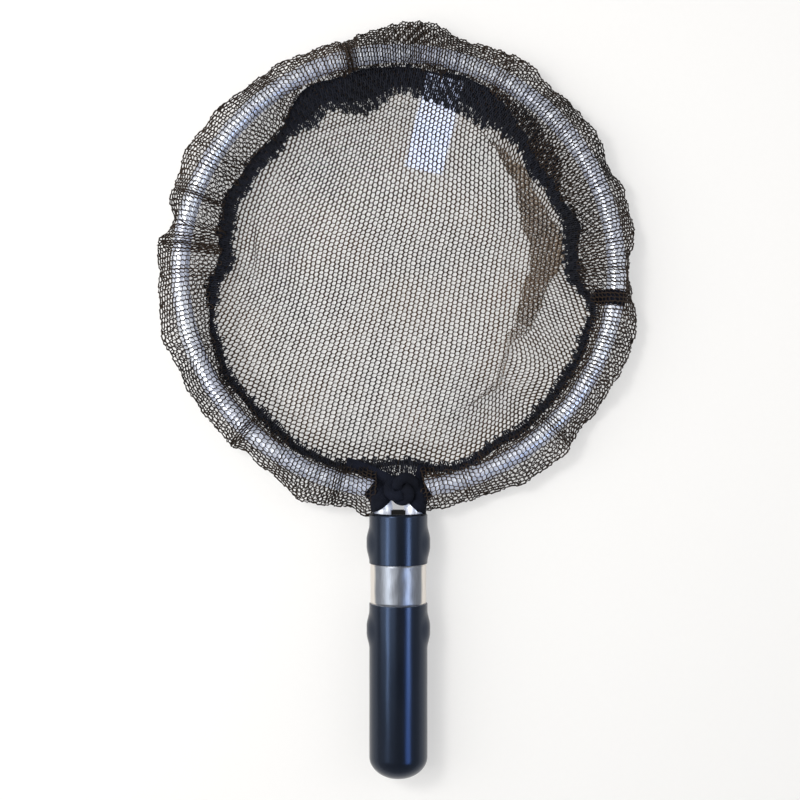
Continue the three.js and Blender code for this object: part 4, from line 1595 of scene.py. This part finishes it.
class HANDNET_OT_stage(bpy.types.Operator):
    """Pale table, soft lights and the camera over the net"""

    bl_idname = "handnet.stage"
    bl_label = "Stage"

    def execute(self, context):
        scene = context.scene
        stage = scene.hand_net_stage
        scene.view_settings.view_transform = "Standard"
        mesh = bpy.data.meshes.new("table")
        corners = [(x * TABLE_HALF, y * TABLE_HALF, 0) for x, y in ((-1, -1), (1, -1), (1, 1), (-1, 1))]
        mesh.from_pydata(corners, [], [(0, 1, 2, 3)])
        mesh.materials.append(table_finish(stage.floor))
        table = bpy.data.objects.new("table", mesh)
        table.location.z = -TABLE_DROP
        scene.collection.objects.link(table)

        scene.world = studio_world()
        for lamp in LAMPS:
            area_light(*lamp)

        camera = bpy.data.cameras.new("eye")
        camera.sensor_width = 36
        camera.lens = camera.sensor_width * (stage.eye_height - HOOP_LEVEL) / stage.frame_width
        camera.clip_start = 0.01
        camera.dof.use_dof = False
        eye = bpy.data.objects.new("eye", camera)
        eye.location = (stage.eye_x, stage.eye_y, stage.eye_height)
        scene.collection.objects.link(eye)
        scene.camera = eye
        return {"FINISHED"}


class HANDNET_PT_panel(bpy.types.Panel):
    """Makes the hand net's pieces one by one"""

    bl_idname = "HANDNET_PT_panel"
    bl_label = "Hand net"
    bl_space_type = "VIEW_3D"
    bl_region_type = "UI"
    bl_category = "Hand net"

    def draw(self, context):
        for operator in OPERATORS:
            self.layout.operator(operator.bl_idname)
        for name in GROUPS:
            box = self.layout.box()
            group = getattr(context.scene, name)
            for key in group.bl_rna.properties.keys():
                if key not in ("rna_type", "name"):
                    box.prop(group, key)


GROUPS = {
    "hand_net_tube": HandNetTube,
    "hand_net_sleeves": HandNetSleeves,
    "hand_net_net": HandNetNet,
    "hand_net_finishes": HandNetFinishes,
    "hand_net_stage": HandNetStage,
}
OPERATORS = (
    HANDNET_OT_hoop,
    HANDNET_OT_handle,
    HANDNET_OT_sleeves,
    HANDNET_OT_bag,
    HANDNET_OT_casing,
    HANDNET_OT_seam_tape,
    HANDNET_OT_neck,
    HANDNET_OT_label,
    HANDNET_OT_stage,
)


def register():
    for made in (*GROUPS.values(), *OPERATORS, HANDNET_PT_panel):
        bpy.utils.register_class(made)
    for name, group in GROUPS.items():
        setattr(bpy.types.Scene, name, PointerProperty(type=group))


def unregister():
    for name in GROUPS:
        delattr(bpy.types.Scene, name)
    for made in reversed((*GROUPS.values(), *OPERATORS, HANDNET_PT_panel)):
        bpy.utils.unregister_class(made)


def main():
    register()
    for operator in OPERATORS:
        group, name = operator.bl_idname.split(".")
        getattr(getattr(bpy.ops, group), name)()


if __name__ == "__main__":
    main()
